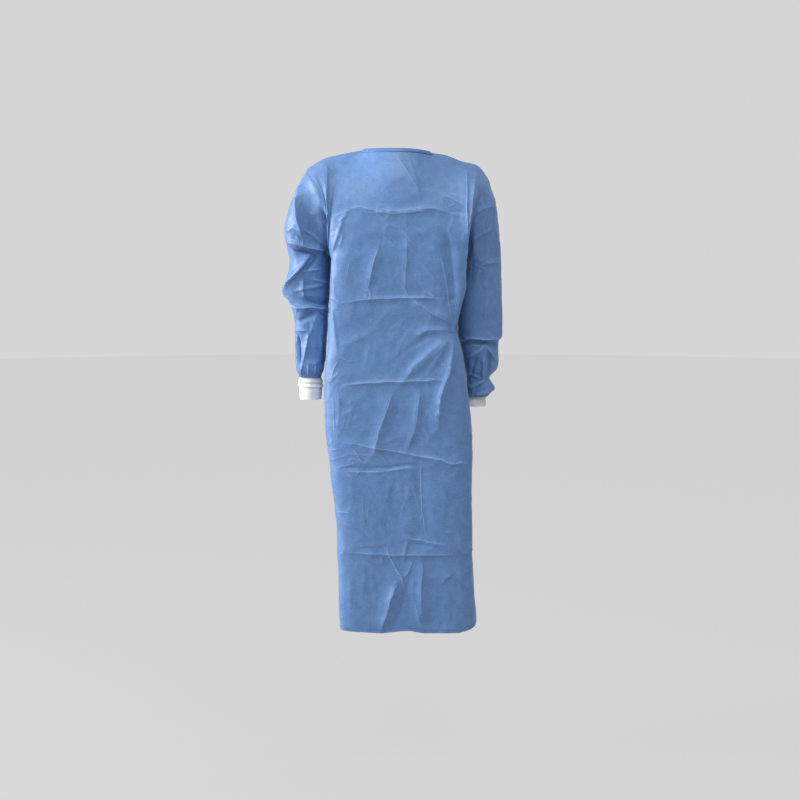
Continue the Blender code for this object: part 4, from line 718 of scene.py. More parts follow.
def half_body(z, share, side, facing):
    """Half a level of the body: share runs from the centre line (0) to the side seam (1)."""
    level = level_at(z)
    widest = level["right"] if side > 0 else level["left"]
    widest_y = level["right_y"] if side > 0 else level["left_y"]
    reach = (widest - level["middle"])[:, None]
    front_depth = (widest_y - level["front"])[:, None]
    back_depth = (level["back"] - widest_y)[:, None]
    quarter_turn = math.pi / 2
    if facing < 0:
        angle = share[None, :] * (quarter_turn + SEAM_TURN)
    else:
        angle = share[None, :] * (quarter_turn - SEAM_TURN)
    x_front, y_front = quarter(angle, FRONT_SQUARE)
    x_back, y_back = quarter(angle, BACK_SQUARE)
    if facing < 0:
        behind = angle > quarter_turn
        x_unit = np.where(behind, x_back, x_front)
        y_shift = np.where(behind, -y_back * back_depth, -y_front * front_depth)
    else:
        x_unit = x_back + 0 * reach
        y_shift = y_back * back_depth
    x = level["middle"][:, None] + reach * x_unit
    y = widest_y[:, None] + y_shift
    return np.stack([x, y, np.broadcast_to(z[:, None], x.shape)], axis=-1)


def top_line(share, side, facing):
    """Half of the neckline and the whole shoulder seam."""
    middle = (FRONT_MIDDLE if facing < 0 else BACK_MIDDLE)[-1]
    shoulder = SHOULDER_LEFT if side > 0 else SHOULDER_RIGHT
    neck = shoulder[0]
    turn = np.clip(share / NECK_SHARE, 0, 1) * math.pi / 2
    x = middle.x + (neck.x - middle.x) * np.sin(turn)
    y = middle.y + (neck.y - middle.y) * (1 - np.cos(turn))
    z = middle.z + (neck.z - middle.z) * np.sin(turn) ** 2
    line = np.stack([x, y, z], axis=-1)
    along = np.clip((share - NECK_SHARE) / (1 - NECK_SHARE), 0, 1)
    return np.where((share > NECK_SHARE)[:, None], along_marks(shoulder, along), line)


def half_yoke(rise, share, side, facing):
    """Half a yoke, filled in between its centre line, armhole, shoulder and underarm level."""
    bottom = half_body(np.array([UNDERARM_Z]), share, side, facing)[0]
    top = top_line(share, side, facing)
    middle = along_marks(FRONT_MIDDLE if facing < 0 else BACK_MIDDLE, rise)
    tables = {
        (1, -1): FRONT_ARMHOLE_LEFT,
        (-1, -1): FRONT_ARMHOLE_RIGHT,
        (1, 1): BACK_ARMHOLE_LEFT,
        (-1, 1): BACK_ARMHOLE_RIGHT,
    }
    armhole = along_marks((Mark(0.0, *bottom[-1]),) + tables[side, facing], rise)
    up = (rise**TOP_FADE)[:, None, None]
    out = (share**ARM_FADE)[None, :, None]
    ruled = (1 - up) * bottom[None] + up * top[None]
    return ruled + (1 - out) * (middle[:, None] - ruled[:, :1]) + out * (armhole[:, None] - ruled[:, -1:])


def skirt_heights():
    """Rows from the hem to the underarm, closer together at each crosswise crease."""
    z = np.linspace(HEM_Z, UNDERARM_Z, 4000)
    close = np.ones_like(z)
    for crease in CREASES_Z:
        close += CREASE_CLOSE * np.exp(-(((z - crease) / CREASE_REACH) ** 2))
    place = np.cumsum(close) - close[0]
    return np.interp(np.linspace(0, place[-1], SKIRT_ROWS + 1), place, z)


def half_panel(share, side, facing):
    low = half_body(skirt_heights(), share, side, facing)
    high = half_yoke(np.linspace(0, 1, YOKE_ROWS + 1), share, side, facing)
    corner = int(np.argmin(np.abs(share - NECK_SHARE)))
    return ease_corner(np.concatenate([low[:-1], high]), corner)


def ease_corner(net, corner):
    """Softens the fan that would run down the yoke from the corner between neck and shoulder."""
    rise = np.clip((np.arange(len(net)) - SKIRT_ROWS) / YOKE_ROWS, 0, 1)
    row = smooth_step(rise / 0.15) * (1 - rise**CORNER_HOLD)
    away = np.abs(np.arange(net.shape[1]) - corner) / CORNER_REACH
    share = (row[:, None] * smooth_step(1.4 - away)[None, :])[:, 1:-1, None] * 0.5
    for _ in range(CORNER_ROUNDS):
        net[:, 1:-1] += share * ((net[:, :-2] + net[:, 2:]) / 2 - net[:, 1:-1])
    return net


def column_shares(counts):
    """Shares of the half width, with a column on the corner where neck and shoulder meet."""
    neck, chest, side = counts
    return np.concatenate([
        np.linspace(0, NECK_SHARE, neck + 1),
        np.linspace(NECK_SHARE, CHEST_SHARE, chest + 1)[1:],
        np.linspace(CHEST_SHARE, 1, side + 1)[1:],
    ])


def ways_of(points, turned=False, round_tube=False):
    """Outward direction at each point of a net."""
    down = np.gradient(points, axis=0)
    if round_tube:
        ring = points[:, :-1]
        across = np.roll(ring, -1, axis=1) - np.roll(ring, 1, axis=1)
        across = np.concatenate([across, across[:, :1]], axis=1)
    else:
        across = np.gradient(points, axis=1)
    way = unit(np.cross(across, down))
    return -way if turned else way


def place_on(points, ways, spot, facing):
    """The point of a net nearest to a spot seen from the front (-1) or the back (+1)."""
    away = np.hypot(points[..., 0] - spot[0], points[..., 2] - spot[1])
    away = away + np.where(ways[..., 1] * facing > FACES_VIEWER, 0, 1.0)
    return points[np.unravel_index(np.argmin(away), away.shape)]


def crease_lift(points, ways, path, crease, share):
    """How far a crease lifts each point of a net, how strong the painted highlight on its crest is there and how far
    off it lies.
    """
    shape = points.shape[:2]
    height = np.zeros(shape)
    crest = np.zeros(shape)
    gap_to = np.full(shape, FAR_GAP)
    nearest = np.full(shape, np.inf)
    ridge = RIDGE_SHARE if crease.pale else 0.0
    lengths = np.linalg.norm(np.diff(path, axis=0), axis=1)
    travelled = np.concatenate([[0], np.cumsum(lengths)])
    for k in range(len(path) - 1):
        if lengths[k] < 1e-6:
            continue
        run = (path[k + 1] - path[k]) / lengths[k]
        offset = points - path[k]
        along = np.clip(offset @ run, 0, lengths[k])
        gap = offset - along[..., None] * run
        far = np.linalg.norm(gap, axis=-1)
        side = np.sum(gap * np.cross(ways, run), axis=-1)
        width = np.where(side > 0, crease.up, crease.down) * MM * CREASE_SPREAD
        slope = np.clip(1 - (np.sqrt((far / width) ** 2 + CREST**2) - CREST), 0, 1)
        part = (travelled[k] + along) / travelled[-1]
        fade = END_SHARE + (1 - END_SHARE) * smooth_step(part / END_FADE) * smooth_step((1 - part) / END_FADE)
        closer = far < nearest
        shape_here = (1 - ridge) * slope**CREASE_POWER + ridge * np.clip(1 - far / RIDGE_WIDTH, 0, 1)
        height = np.where(closer, crease.height * MM * share * shape_here * fade, height)
        # Painted highlight: how pale the crest is painted here
        crest = np.where(closer, crease.pale * fade * np.exp(-((far / CREST_REACH) ** 2)), crest)
        gap_to = np.where(closer, np.copysign(far, side), gap_to)
        nearest = np.minimum(nearest, far)
    return height, crest, gap_to


def soft_path(path):
    """A crease's path in metres, with its corners rounded a little."""
    knots = np.array(path, float) * MM
    if len(knots) < 3:
        return knots
    at = np.linspace(0, len(knots) - 1, 2 * (len(knots) - 1) + 1)
    return smooth_line(np.arange(len(knots)), knots, at)


def crease_cloth(points, tables, turned=False, round_tube=False):
    """Folds and creases of a net. Each table comes with the side that it is seen from and its share."""
    ways = ways_of(points, turned, round_tube)
    lift = np.zeros(points.shape[:2])
    crest = np.zeros(points.shape[:2])
    gap = np.full(points.shape[:2], FAR_GAP)
    for creases, facing, share in tables:
        for crease in creases:
            path = np.array([place_on(points, ways, spot, facing) for spot in soft_path(crease.path)])
            height, here, gap_here = crease_lift(points, ways, path, crease, share)
            lift += height
            gap = np.where(here > crest, gap_here, gap)
            crest = np.maximum(crest, here)
    return lift, crest, gap, ways


def wrinkles(points, length, seed):
    """Soft noise over a net, at one size."""
    flat = points.reshape(-1, 3) / length + seed
    return np.array([noise.noise(Vector(p)) for p in flat]).reshape(points.shape[:2])


def crumple(points, strength, seed):
    """Small unevenness of the cloth: broad swells, flat facets between sharp lines, and a web of fine creases, with
    the strength of the paler highlight painted along that web.
    """
    swell = wrinkles(points, SWELL_LENGTH, seed) * SWELL_HEIGHT
    facets = -np.abs(wrinkles(points, FACET_LENGTH, seed + 3.7)) * FACET_HEIGHT
    small = -np.abs(wrinkles(points, SMALL_LENGTH, seed + 8.2)) * SMALL_HEIGHT
    fine = wrinkles(points, FINE_LENGTH, seed + 3.1) * FINE_HEIGHT
    line = np.clip(1 - np.abs(wrinkles(points, WEB_LENGTH, seed + 7.3)) / WEB_THIN, 0, 1)
    line = line * smooth_step((wrinkles(points, WEB_PATCH, seed + 11.0) + 0.05) / 0.3)
    height = swell + facets + small + fine + line * WEB_HEIGHT
    # The web's lines also carry a painted highlight
    return height * strength, line * WEB_HIGHLIGHT


def edge_keep(rows, columns, row_reach, column_reach, round_tube=False):
    """Share of the relief that stays, down to nothing at the seams."""
    row = smooth_step(np.minimum(np.arange(rows), np.arange(rows)[::-1]) / row_reach)
    if round_tube:
        return row[:, None] + np.zeros((1, columns))
    column = smooth_step(np.minimum(np.arange(columns), np.arange(columns)[::-1]) / column_reach)
    return row[:, None] * column[None, :]


def dress(points, tables, strength, seed, turned=False, round_tube=False, hem=False):
    """The finished outer face of a piece, with folds, creases and crumple eased to its seams, and the marks for the
    highlight painted along its creases.
    """
    lift, crest, gap, ways = crease_cloth(points, tables, turned, round_tube)
    rough, web = crumple(points, strength, seed)
    rows, columns = points.shape[:2]
    keep = edge_keep(rows, columns, SEAM_EASE, SEAM_EASE, round_tube)
    if hem:
        keep[:SEAM_EASE] = keep[SEAM_EASE]
    net = points + ways * ((lift + rough) * keep)[..., None]
    # The web's painted highlight goes with the marks, eased to the seams
    return net, {"crest": crest * (0.3 + 0.7 * keep), "gap": gap, "pale": web * keep}


def sink_seams(net, ways, edges):
    """Draws a net's edges in, where a seam pulls the cloth down."""
    sunk = net.copy()
    for steps, depth in enumerate(SEAM_DEPTHS):
        for edge in edges:
            index = {
                "first_row": (steps, slice(None)),
                "last_row": (-1 - steps, slice(None)),
                "first_column": (slice(None), steps),
                "last_column": (slice(None), -1 - steps),
            }[edge]
            sunk[index] -= ways[index] * depth
    return sunk


def front_net():
    shares = column_shares(FRONT_COLUMNS)
    right = half_panel(shares, -1, -1)[:, ::-1]
    left = half_panel(shares, 1, -1)
    plain = np.concatenate([right, left[:, 1:]], axis=1)
    tables = (
        (FRONT_FOLDS, -1, FOLD_SHARE),
        (FRONT_CREASES, -1, CREASE_SHARE),
    )
    net, marks = dress(plain, tables, 1.0, 0.0, hem=True)
    return hem_wave(net, hem_height(net[0, :, 0])), marks


def hem_height(across):
    return np.interp(across, [x * MM for x, _ in HEM_WAVE], [z * MM for _, z in HEM_WAVE])


def hem_wave(net, height):
    """The hem's rise and fall, which fades out above it."""
    fade = smooth_step(1 - (net[..., 2] - HEM_Z) / HEM_WAVE_REACH)
    waved = net.copy()
    waved[..., 2] += height[None, :] * fade
    return waved


def back_hem_wave(net):
    """A back panel's hem meets the front's at the side seam."""
    away = np.linalg.norm(net[0, :, :2] - net[0, 0, :2], axis=-1)
    return hem_wave(net, hem_height(net[0, 0, 0]) * smooth_step(1 - away / HEM_WAVE_RUN))


def lap_share(rows):
    return np.linspace(LAP_HEM, LAP_NECK, rows)


def back_plain(side):
    """One back panel from its side seam to its free edge, past the centre line."""
    shares = column_shares(BACK_COLUMNS)
    own = half_panel(shares, side, 1)[:, ::-1]
    far = half_panel(shares, -side, 1)
    steps = np.linspace(0, 1, LAP_COLUMNS + 1)[1:]
    rows = len(own)
    laps = lap_share(rows)
    lap = np.empty((rows, LAP_COLUMNS, 3))
    for j in range(rows):
        for axis in range(3):
            lap[j, :, axis] = np.interp(steps * laps[j], shares, far[j, :, axis])
    return np.concatenate([own, lap], axis=1), shares


def outer_back_net():
    plain, _ = back_plain(1)
    tables = ((BACK_FOLDS_OUTER, 1, FOLD_SHARE), (BACK_CREASES_OUTER, 1, CREASE_SHARE))
    net, marks = dress(plain, tables, 1.0, 4.0, hem=True)
    return back_hem_wave(net), marks


def inner_back_net():
    """The back panel that lies under the other."""
    plain, shares = back_plain(-1)
    tables = ((BACK_FOLDS_INNER, 1, FOLD_SHARE), (BACK_CREASES_INNER, 1, CREASE_SHARE))
    net, marks = dress(plain, tables, 1.0, 9.0, turned=True, hem=True)
    rows = len(plain)
    own = shares[::-1][None, :] + np.zeros((rows, 1))
    past = -np.linspace(0, 1, LAP_COLUMNS + 1)[1:][None, :] * lap_share(rows)[:, None]
    share = np.concatenate([own, past], axis=1)
    start = lap_share(rows)[:, None] + LAP_FADE + 0.02
    sink = LAP_SINK * smooth_step((start - share) / LAP_FADE)
    return back_hem_wave(net - ways_of(plain, turned=True) * sink[..., None]), marks


def ring_shape(angle):
    """Depth and width of a unit sleeve ring at these angles from its outer end."""
    deep = np.abs(np.sin(angle))
    wide = np.abs(np.cos(angle))
    reach = (deep ** SLEEVE_SQUARE + wide ** SLEEVE_SQUARE) ** (-1 / SLEEVE_SQUARE)
    return np.sin(angle) * reach, np.cos(angle) * reach


def sleeve_net(rings, turn, front_edge, back_edge, tables, strength, seed, turned):
    """Sleeve as rings from the armhole to the cuff, closed round."""
    armhole = np.concatenate([front_edge[::-1], back_edge[1:]])
    angle = np.linspace(0, 2 * math.pi, len(armhole))
    place = np.linspace(0, len(rings) - 1, SLEEVE_ROWS + 1)
    row = smooth_line(np.arange(len(rings)), np.array(rings), place)
    outer_x, outer_z, inner_x, inner_z, y, half_depth = (row[:, [i]] for i in range(6))
    bulge, swing = (part[None, :] for part in ring_shape(angle))
    x = (outer_x + inner_x) / 2 + (outer_x - inner_x) / 2 * swing
    z = (outer_z + inner_z) / 2 + (outer_z - inner_z) / 2 * swing
    straighter = 1 - smooth_step(place / (len(rings) - 1))[:, None]
    depth = y - half_depth * bulge - turn * straighter * swing
    net = np.stack([x, depth + 0 * x, z], axis=-1)
    joined = (1 - smooth_step(place / (len(rings) - 1) / ARMHOLE_REACH))[:, None, None]
    net = net + joined * (armhole[None] - net[:1])
    return dress(net, tables, strength, seed, turned, round_tube=True)


def cuff_net(rings, centre_x, centre_y, tilt):
    """Knitted cuff with its ribs and the folds it is pushed into."""
    angle = np.linspace(0, 2 * math.pi, CUFF_RIBS * RIB_STEPS + 1)
    place = np.linspace(0, len(rings) - 1, CUFF_ROWS + 1)
    row = smooth_line(np.arange(len(rings)), np.array(rings), place)
    z, half_width, half_depth, lean = (row[:, [i]] for i in range(4))
    outward = 1 if centre_x > 0 else -1
    rib = 1 + RIB_HEIGHT / half_width * np.cos(CUFF_RIBS * angle)[None, :]
    waver = 1 + 0.03 * np.sin(2 * angle + tilt)[None, :] * lean / 0.003
    x = centre_x + outward * half_width * rib * waver * np.cos(angle)[None, :]
    y = centre_y - half_depth * rib * waver * np.sin(angle)[None, :]
    return np.stack([x, y, z + lean * np.cos(angle + tilt)[None, :]], axis=-1)


def lay_cloth(name, net, ways, thickness, material, marks=None, round_tube=False):
    """Thin shell of cloth: the net is its outer face and its thickness grows inward."""
    rows, columns = net.shape[:2]
    inner = net - ways * thickness
    across = np.concatenate([[0], np.cumsum(np.linalg.norm(np.diff(net[rows // 2], axis=0), axis=-1))])
    upward = np.concatenate([[0], np.cumsum(np.linalg.norm(np.diff(net[:, columns // 2], axis=0), axis=-1))])
    mesh = bmesh.new()
    bmesh.ops.create_grid(mesh, x_segments=columns - 1, y_segments=rows - 1, size=1.0)
    cloth_map = mesh.loops.layers.uv.new("cloth")
    mark_layers = {key: mesh.verts.layers.float.new(key) for key in marks or {}}
    row_of = mesh.verts.layers.int.new("row")
    column_of = mesh.verts.layers.int.new("column")
    for v in mesh.verts:
        j = round((v.co.y + 1) / 2 * (rows - 1))
        i = round((v.co.x + 1) / 2 * (columns - 1))
        v[row_of] = j
        v[column_of] = i
        for key, layer in mark_layers.items():
            v[layer] = marks[key][j, i]
    for face in mesh.faces:
        for loop in face.loops:
            loop[cloth_map].uv = (across[loop.vert[column_of]], upward[loop.vert[row_of]])
    for v in mesh.verts:
        v.co = net[v[row_of], v[column_of]]
    if round_tube:
        bmesh.ops.remove_doubles(mesh, verts=mesh.verts[:], dist=1e-6)
    grown = bmesh.ops.extrude_face_region(mesh, geom=mesh.faces[:])
    for v in grown["geom"]:
        if isinstance(v, bmesh.types.BMVert):
            v.co = inner[v[row_of], v[column_of]]
    for spare in ("row", "column"):
        mesh.verts.layers.int.remove(mesh.verts.layers.int[spare])
    bmesh.ops.recalc_face_normals(mesh, faces=mesh.faces[:])
    return put(name, mesh, material)


def put(name, mesh, material):
    """Makes a finished bmesh a smooth-shaded piece in the scene, with its material."""
    data = bpy.data.meshes.new(name)
    mesh.to_mesh(data)
    mesh.free()
    data.materials.append(material)
    data.shade_smooth()
    data.set_sharp_from_angle(angle=math.radians(60))
    piece = bpy.data.objects.new(name, data)
    bpy.context.scene.collection.objects.link(piece)
    return piece


def read_net(net, row, column):
    """Point of a net between its rows and columns."""
    row = np.clip(row, 0, net.shape[0] - 1.001)
    column = np.clip(column, 0, net.shape[1] - 1.001)
    j = np.floor(row).astype(int)
    i = np.floor(column).astype(int)
    v = (row - j)[..., None]
    u = (column - i)[..., None]
    low = net[j, i] * (1 - u) + net[j, i + 1] * u
    high = net[j + 1, i] * (1 - u) + net[j + 1, i + 1] * u
    return low * (1 - v) + high * v


def row_at(net, column, z):
    """Row where one column of a net reaches a height."""
    return float(np.interp(z, net[:, column, 2], np.arange(net.shape[0])))


def column_at(net, row, x):
    """Column where a net's row crosses x."""
    line = net[int(round(row)), :, 0]
    k = np.where((line[:-1] - x) * (line[1:] - x) <= 0)[0][0]
    return k + (x - line[k]) / (line[k + 1] - line[k])


def on_cloth(net, ways, low_row, high_row, columns, lines, lift):
    """Lines of points along a band of a net, moved out from its cloth."""
    row, column = np.meshgrid(np.linspace(low_row, high_row, lines), columns, indexing="ij")
    return read_net(net, row, column) + unit(read_net(ways, row, column)) * lift


def sew(name, line, ways, material, pitch=0.0036, length=0.0024, thick=0.00028):
    """Row of stitches: short threads that lie along a line on the cloth."""
    steps = np.linalg.norm(np.diff(line, axis=0), axis=1)
    travelled = np.concatenate([[0], np.cumsum(steps)])
    mesh = bmesh.new()
    for start in np.arange(pitch / 2, travelled[-1] - length, pitch):
        ends = [np.array([np.interp(s, travelled, line[:, a]) for a in range(3)]) for s in (start, start + length)]
        up = np.array([np.interp(start, travelled, ways[:, a]) for a in range(3)])
        middle = Vector((ends[0] + ends[1]) / 2 + unit(up) * thick / 2)
        run = Vector(ends[1] - ends[0])
        turn = run.to_track_quat("Z", "Y").to_matrix().to_4x4()
        turn.translation = middle
        bmesh.ops.create_cone(mesh, cap_ends=True, segments=6, radius1=thick, radius2=thick, depth=length, matrix=turn)
    return put(name, mesh, material)


def dress_piece(piece, slot, *nodes):
    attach(piece, "root")
    if nodes:
        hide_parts(*nodes)
    return piece


def make_body(cloth):
    """Front, the two lapped backs and the sleeves. Gives each one's net and outward ways."""
    front, front_marks = front_net()
    outer, outer_marks = outer_back_net()
    inner, inner_marks = inner_back_net()
    u = SKIRT_ROWS
    right_tables = ((SLEEVE_FOLDS_RIGHT, -1, FOLD_SHARE), (RIGHT_SLEEVE_CREASES, -1, SLEEVE_SHARE),
                    (RIGHT_SLEEVE_BACK, 1, CREASE_SHARE))
    left_tables = ((SLEEVE_FOLDS_LEFT, -1, FOLD_SHARE), (LEFT_SLEEVE_CREASES, -1, SLEEVE_SHARE),
                   (LEFT_SLEEVE_BACK, 1, CREASE_SHARE))
    right, right_marks = sleeve_net(RINGS_RIGHT, SLEEVE_TURN_RIGHT, front[u:, 0], inner[u:, 0], right_tables, 1.5, 15.0, True)
    left, left_marks = sleeve_net(RINGS_LEFT, 0.0, front[u:, -1], outer[u:, 0], left_tables, 1.3, 21.0, False)
    made = {}
    for name, net, marks, turned, tube, edges, flat, rests in (
        ("front_panel", front, front_marks, False, False, ("first_column", "last_column"), (0.66, 1.19), "back_panel_left"),
        ("back_panel_left", outer, outer_marks, False, False, ("first_column",), (0.42, 1.19), "front_panel"),
        ("back_panel_right", inner, inner_marks, True, False, ("first_column",), (0.42, 1.19), "front_panel"),
        ("sleeve_right", right, right_marks, True, True, ("first_row",), (0.50, 0.56), "front_panel"),
        ("sleeve_left", left, left_marks, False, True, ("first_row",), (0.50, 0.58), "front_panel"),
    ):
        ways = ways_of(net, turned, tube)
        net = sink_seams(net, ways, edges)
        piece = lay_cloth(name + "_cloth", net, ways, CLOTH, cloth, marks, tube)
        dress_piece(piece, "gown_cloth", name)
        made[name] = (net, ways)
    return made


def make_cuffs(knit, thread):
    for side, rings, x, y, tilt, turned, flat in (
        ("right", CUFF_RINGS_RIGHT, CUFF_RIGHT_X, CUFF_RIGHT_Y, 0.6, True, (0.19, 0.075)),
        ("left", CUFF_RINGS_LEFT, CUFF_LEFT_X, CUFF_LEFT_Y, 0.0, False, (0.18, 0.030)),
    ):
        net = cuff_net(rings, x, y, tilt)
        ways = ways_of(net, turned, True)
        piece = lay_cloth("cuff_" + side + "_knit", net, ways, KNIT, knit, None, True)
        dress_piece(piece, "gown_knit", "cuff_" + side)


def make_binding(body, pieces, material, thread):
    """Strip folded over the neck's edge, and its stitching."""
    corner = sum(FRONT_COLUMNS[1:])
    back_corner = sum(BACK_COLUMNS[1:])
    outer, outer_ways = body["back_panel_left"]
    front, front_ways = body["front_panel"]
    inner, inner_ways = body["back_panel_right"]
    last = outer.shape[1] - 1
    runs = (
        (outer, outer_ways, np.arange(last, back_corner - 1, -1)),
        (front, front_ways, np.arange(front.shape[1] - 1 - corner, corner - 1, -1)[1:]),
        (inner, inner_ways, np.arange(back_corner, back_corner + UNDER_BINDING_COLUMNS)[1:]),
    )
    edge = np.concatenate([net[-1, columns] for net, _, columns in runs])
    up = np.concatenate([ways[-1, columns] for _, ways, columns in runs])
    away = unit(np.cross(up, np.gradient(edge, axis=0)))
    left_point = last - back_corner
    right_point = left_point + len(runs[1][2])
    for index, column, outward in ((left_point, front.shape[1] - 1 - corner, 1), (right_point, corner, -1)):
        seam = front[-1, column + outward * 3] - front[-1, column]
        away[index] = unit(seam)
    for _ in range(BINDING_EASE):
        away[1:-1] = unit(away[:-2] + 2 * away[1:-1] + away[2:])
    away[0] = unit(outer[-4, -1] - outer[-1, -1])
    tree = cloth_tree(pieces)
    lines = []
    for drop, lift in BINDING_PROFILE:
        lines.append(binding_line(tree, edge, up, away, drop, lift))
    strip = np.stack(lines)
    ways = ways_of(strip)
    piece = lay_cloth("neck_binding_strip", strip, ways, STRIP, material)
    dress_piece(piece, "gown_binding", "neck_binding")
    for number, drop in enumerate(BINDING_SEAMS):
        line = binding_line(tree, edge, up, away, drop, BINDING_PROFILE[0][1])
        row = sew("neck_binding_stitches_%d" % (number + 1), line[2:-2], up[2:-2], thread)
        dress_piece(row, "gown_binding")


def cloth_tree(pieces):
    corners = []
    faces = []
    for piece in pieces:
        first = len(corners)
        corners.extend(v.co.copy() for v in piece.data.vertices)
        faces.extend(tuple(first + k for k in p.vertices) for p in piece.data.polygons)
    return BVHTree.FromPolygons(corners, faces)


def binding_line(tree, edge, up, away, drop, lift):
    """One line of the binding, at a distance down from the neck's edge and out from the cloth."""
    line = []
    for start, way, down in zip(edge, up, away):
        spot = start + down * drop
        if drop > 0:
            found, face_way, _, _ = tree.ray_cast(Vector(spot + way * 0.006), Vector(-way), 0.012)
            if found is None:
                found, face_way, _, _ = tree.find_nearest(Vector(spot))
            spot = np.array(found)
            way = unit(np.array(face_way) + way)
        line.append(spot + way * lift)
    line = np.array(line)
    for _ in range(BINDING_EASE):
        line[1:-1] = (line[:-2] + 2 * line[1:-1] + line[2:]) / 4
    return line


def make_ties(body, cloth, thread):
    """Patch, the two waist ties that lie on the cloth, their knot and its hanging ends."""
    front, front_ways = body["front_panel"]
    outer, outer_ways = body["back_panel_left"]
    inner, inner_ways = body["back_panel_right"]
    low = row_at(front, front.shape[1] // 2, WAIST_Z - TIE_WIDTH / 2)
    high = row_at(front, front.shape[1] // 2, WAIST_Z + TIE_WIDTH / 2)
    middle = (low + high) / 2
    columns = np.linspace(column_at(front, middle, PATCH_X[0]), column_at(front, middle, PATCH_X[1]), 9)
    patch_low = row_at(front, int(columns[4]), WAIST_Z - PATCH_HEIGHT / 2)
    patch_high = row_at(front, int(columns[4]), WAIST_Z + PATCH_HEIGHT / 2)
    net = on_cloth(front, front_ways, patch_low, patch_high, columns, 9, PATCH_LIFT)
    ways = ways_of(net)
    patch = dress_piece(lay_cloth("tie_patch_square", net, ways, STRIP, cloth), "gown_cloth", "tie_patch")
    box = np.concatenate([net[1, 1:-1], net[1:-1, -2], net[-2, 1:-1][::-1], net[1:-1, 1][::-1]])
    box_ways = np.concatenate([ways[1, 1:-1], ways[1:-1, -2], ways[-2, 1:-1][::-1], ways[1:-1, 1][::-1]])
    stitches = dress_piece(sew("tie_patch_stitches", box, box_ways, thread, 0.0024, 0.0016), "gown_cloth")

    front_columns = np.arange(columns[-1] + 0.8, front.shape[1] - 1, 1.0)
    outer_columns = np.arange(0.0, column_at(outer, middle, KNOT_X + KNOT_REACH), 1.0)
    net = np.concatenate([
        on_cloth(front, front_ways, low, high, front_columns, 7, TIE_LIFT),
        on_cloth(outer, outer_ways, low, high, outer_columns, 7, TIE_LIFT),
    ], axis=1)
    left = tie("waist_tie_left", narrow_tie(net, end_share=1.0), cloth)

    start = column_at(outer, middle, KNOT_X - KNOT_REACH)
    over = on_cloth(outer, outer_ways, low, high, np.arange(start, outer.shape[1] - 1, 2.0), 7, TIE_LIFT)
    under_start = column_at(inner, middle, over[3, -1, 0] - 0.007)
    under = on_cloth(inner, inner_ways, low, high, np.arange(under_start, 2.0, -2.0), 7, TIE_LIFT)
    net = np.concatenate([over, under], axis=1)
    right = tie("waist_tie_right", narrow_tie(net, end_share=0.0), cloth)
    column = column_at(outer, middle, KNOT_X)
    seat = on_cloth(outer, outer_ways, middle, middle, np.array([column]), 1, TIE_LIFT)[0, 0]
    make_knot(seat, cloth)
    make_tie_ends(seat, outer, cloth)


def narrow_tie(net, end_share):
    """Draws a tie together towards the knot, where it is bunched."""
    count = net.shape[1]
    toward = np.abs(np.linspace(0, 1, count) - end_share)
    width = TIE_BUNCH + (1 - TIE_BUNCH) * smooth_step(toward / 0.35)
    centre = net.mean(axis=0, keepdims=True)
    return centre + (net - centre) * width[None, :, None]


def tie(name, net, cloth):
    ways = ways_of(net)
    cross = np.linspace(-1, 1, net.shape[0])[:, None]
    along = np.arange(net.shape[1])[None, :]
    bulge = 0.0009 * np.cos(cross * 4.2 + 0.8 * np.sin(along * 0.35)) * (1 - cross**2)
    net = net + ways * bulge[..., None]
    piece = dress_piece(lay_cloth(name + "_strip", net, ways, STRIP, cloth), "gown_cloth", name)
    return piece


def make_knot(seat, cloth):
    """Flat soft knot: a wrapped lump with creases that run into it from both ties."""
    mesh = bmesh.new()
    bmesh.ops.create_uvsphere(mesh, u_segments=64, v_segments=40, radius=1.0)
    for v in mesh.verts:
        x, y, z = v.co
        wrap = 1.0 - 0.16 * math.cos(2 * math.atan2(z, x))
        band = math.exp(-((x - 0.25 * z) / 0.36) ** 2)
        groove = 0.07 * math.cos(11 * (z + 0.5 * x)) * (1 - band) + 0.05 * math.cos(15 * (x - 0.25 * z)) * band
        full = 0.84 + 0.20 * band + groove
        v.co = (
            seat[0] + x * KNOT_HALF * wrap * full,
            seat[1] + KNOT_DEPTH * (0.71 + y * full),
            seat[2] + z * KNOT_HALF_HEIGHT * (0.86 + 0.16 * band + groove * 0.6),
        )
    bmesh.ops.recalc_face_normals(mesh, faces=mesh.faces[:])
    knot = put("waist_knot_lump", mesh, cloth)
    return dress_piece(knot, "gown_cloth", "waist_knot")


def make_tie_ends(seat, outer, cloth):
    """The ties' two free ends, which hang from under the knot with a soft twist."""
    for end in TIE_ENDS:
        drop = np.linspace(0, 1, 61)
        z = seat[2] - KNOT_HALF_HEIGHT * 0.7 - drop * end.length
        x = seat[0] + end.side * (TIE_WIDTH / 2 * 0.6 + end.sway * np.sin(drop * math.pi / 2))
        x = x + 0.0015 * np.sin(drop * 9 + end.side)
        turn = end.side * (0.5 * np.sin(drop * math.pi) + 0.10 * np.sin(drop * 11))
        depth = np.array([cloth_depth(outer, a, b) for a, b in zip(x, z)])
        top_y = seat[1] + KNOT_DEPTH * 0.71
        y = top_y + (depth + 0.0055 - top_y) * smooth_step(drop / 0.4)
        width = TIE_WIDTH / 2 * (0.45 + 0.55 * smooth_step(drop / 0.3))
        across = np.linspace(1, -1, 9)[None, :]
        fold = 0.0014 * (1 - across**2) * np.cos(6 * drop + 2 * across.T[0, 0])[:, None]
        net = np.stack([
            x[:, None] + across * width[:, None] * np.cos(turn)[:, None],
            y[:, None] + across * width[:, None] * np.sin(turn)[:, None] + fold,
            z[:, None] + 0.0 * across,
        ], axis=-1)[::-1]
        piece = lay_cloth(end.name + "_strip", net, ways_of(net), STRIP, cloth)
        dress_piece(piece, "gown_cloth", end.name)


def cloth_depth(net, x, z):
    """How far back the cloth reaches near a place seen from behind."""
    away = np.hypot(net[..., 0] - x, net[..., 2] - z)
    return float(net[..., 1][away < 0.016].max())


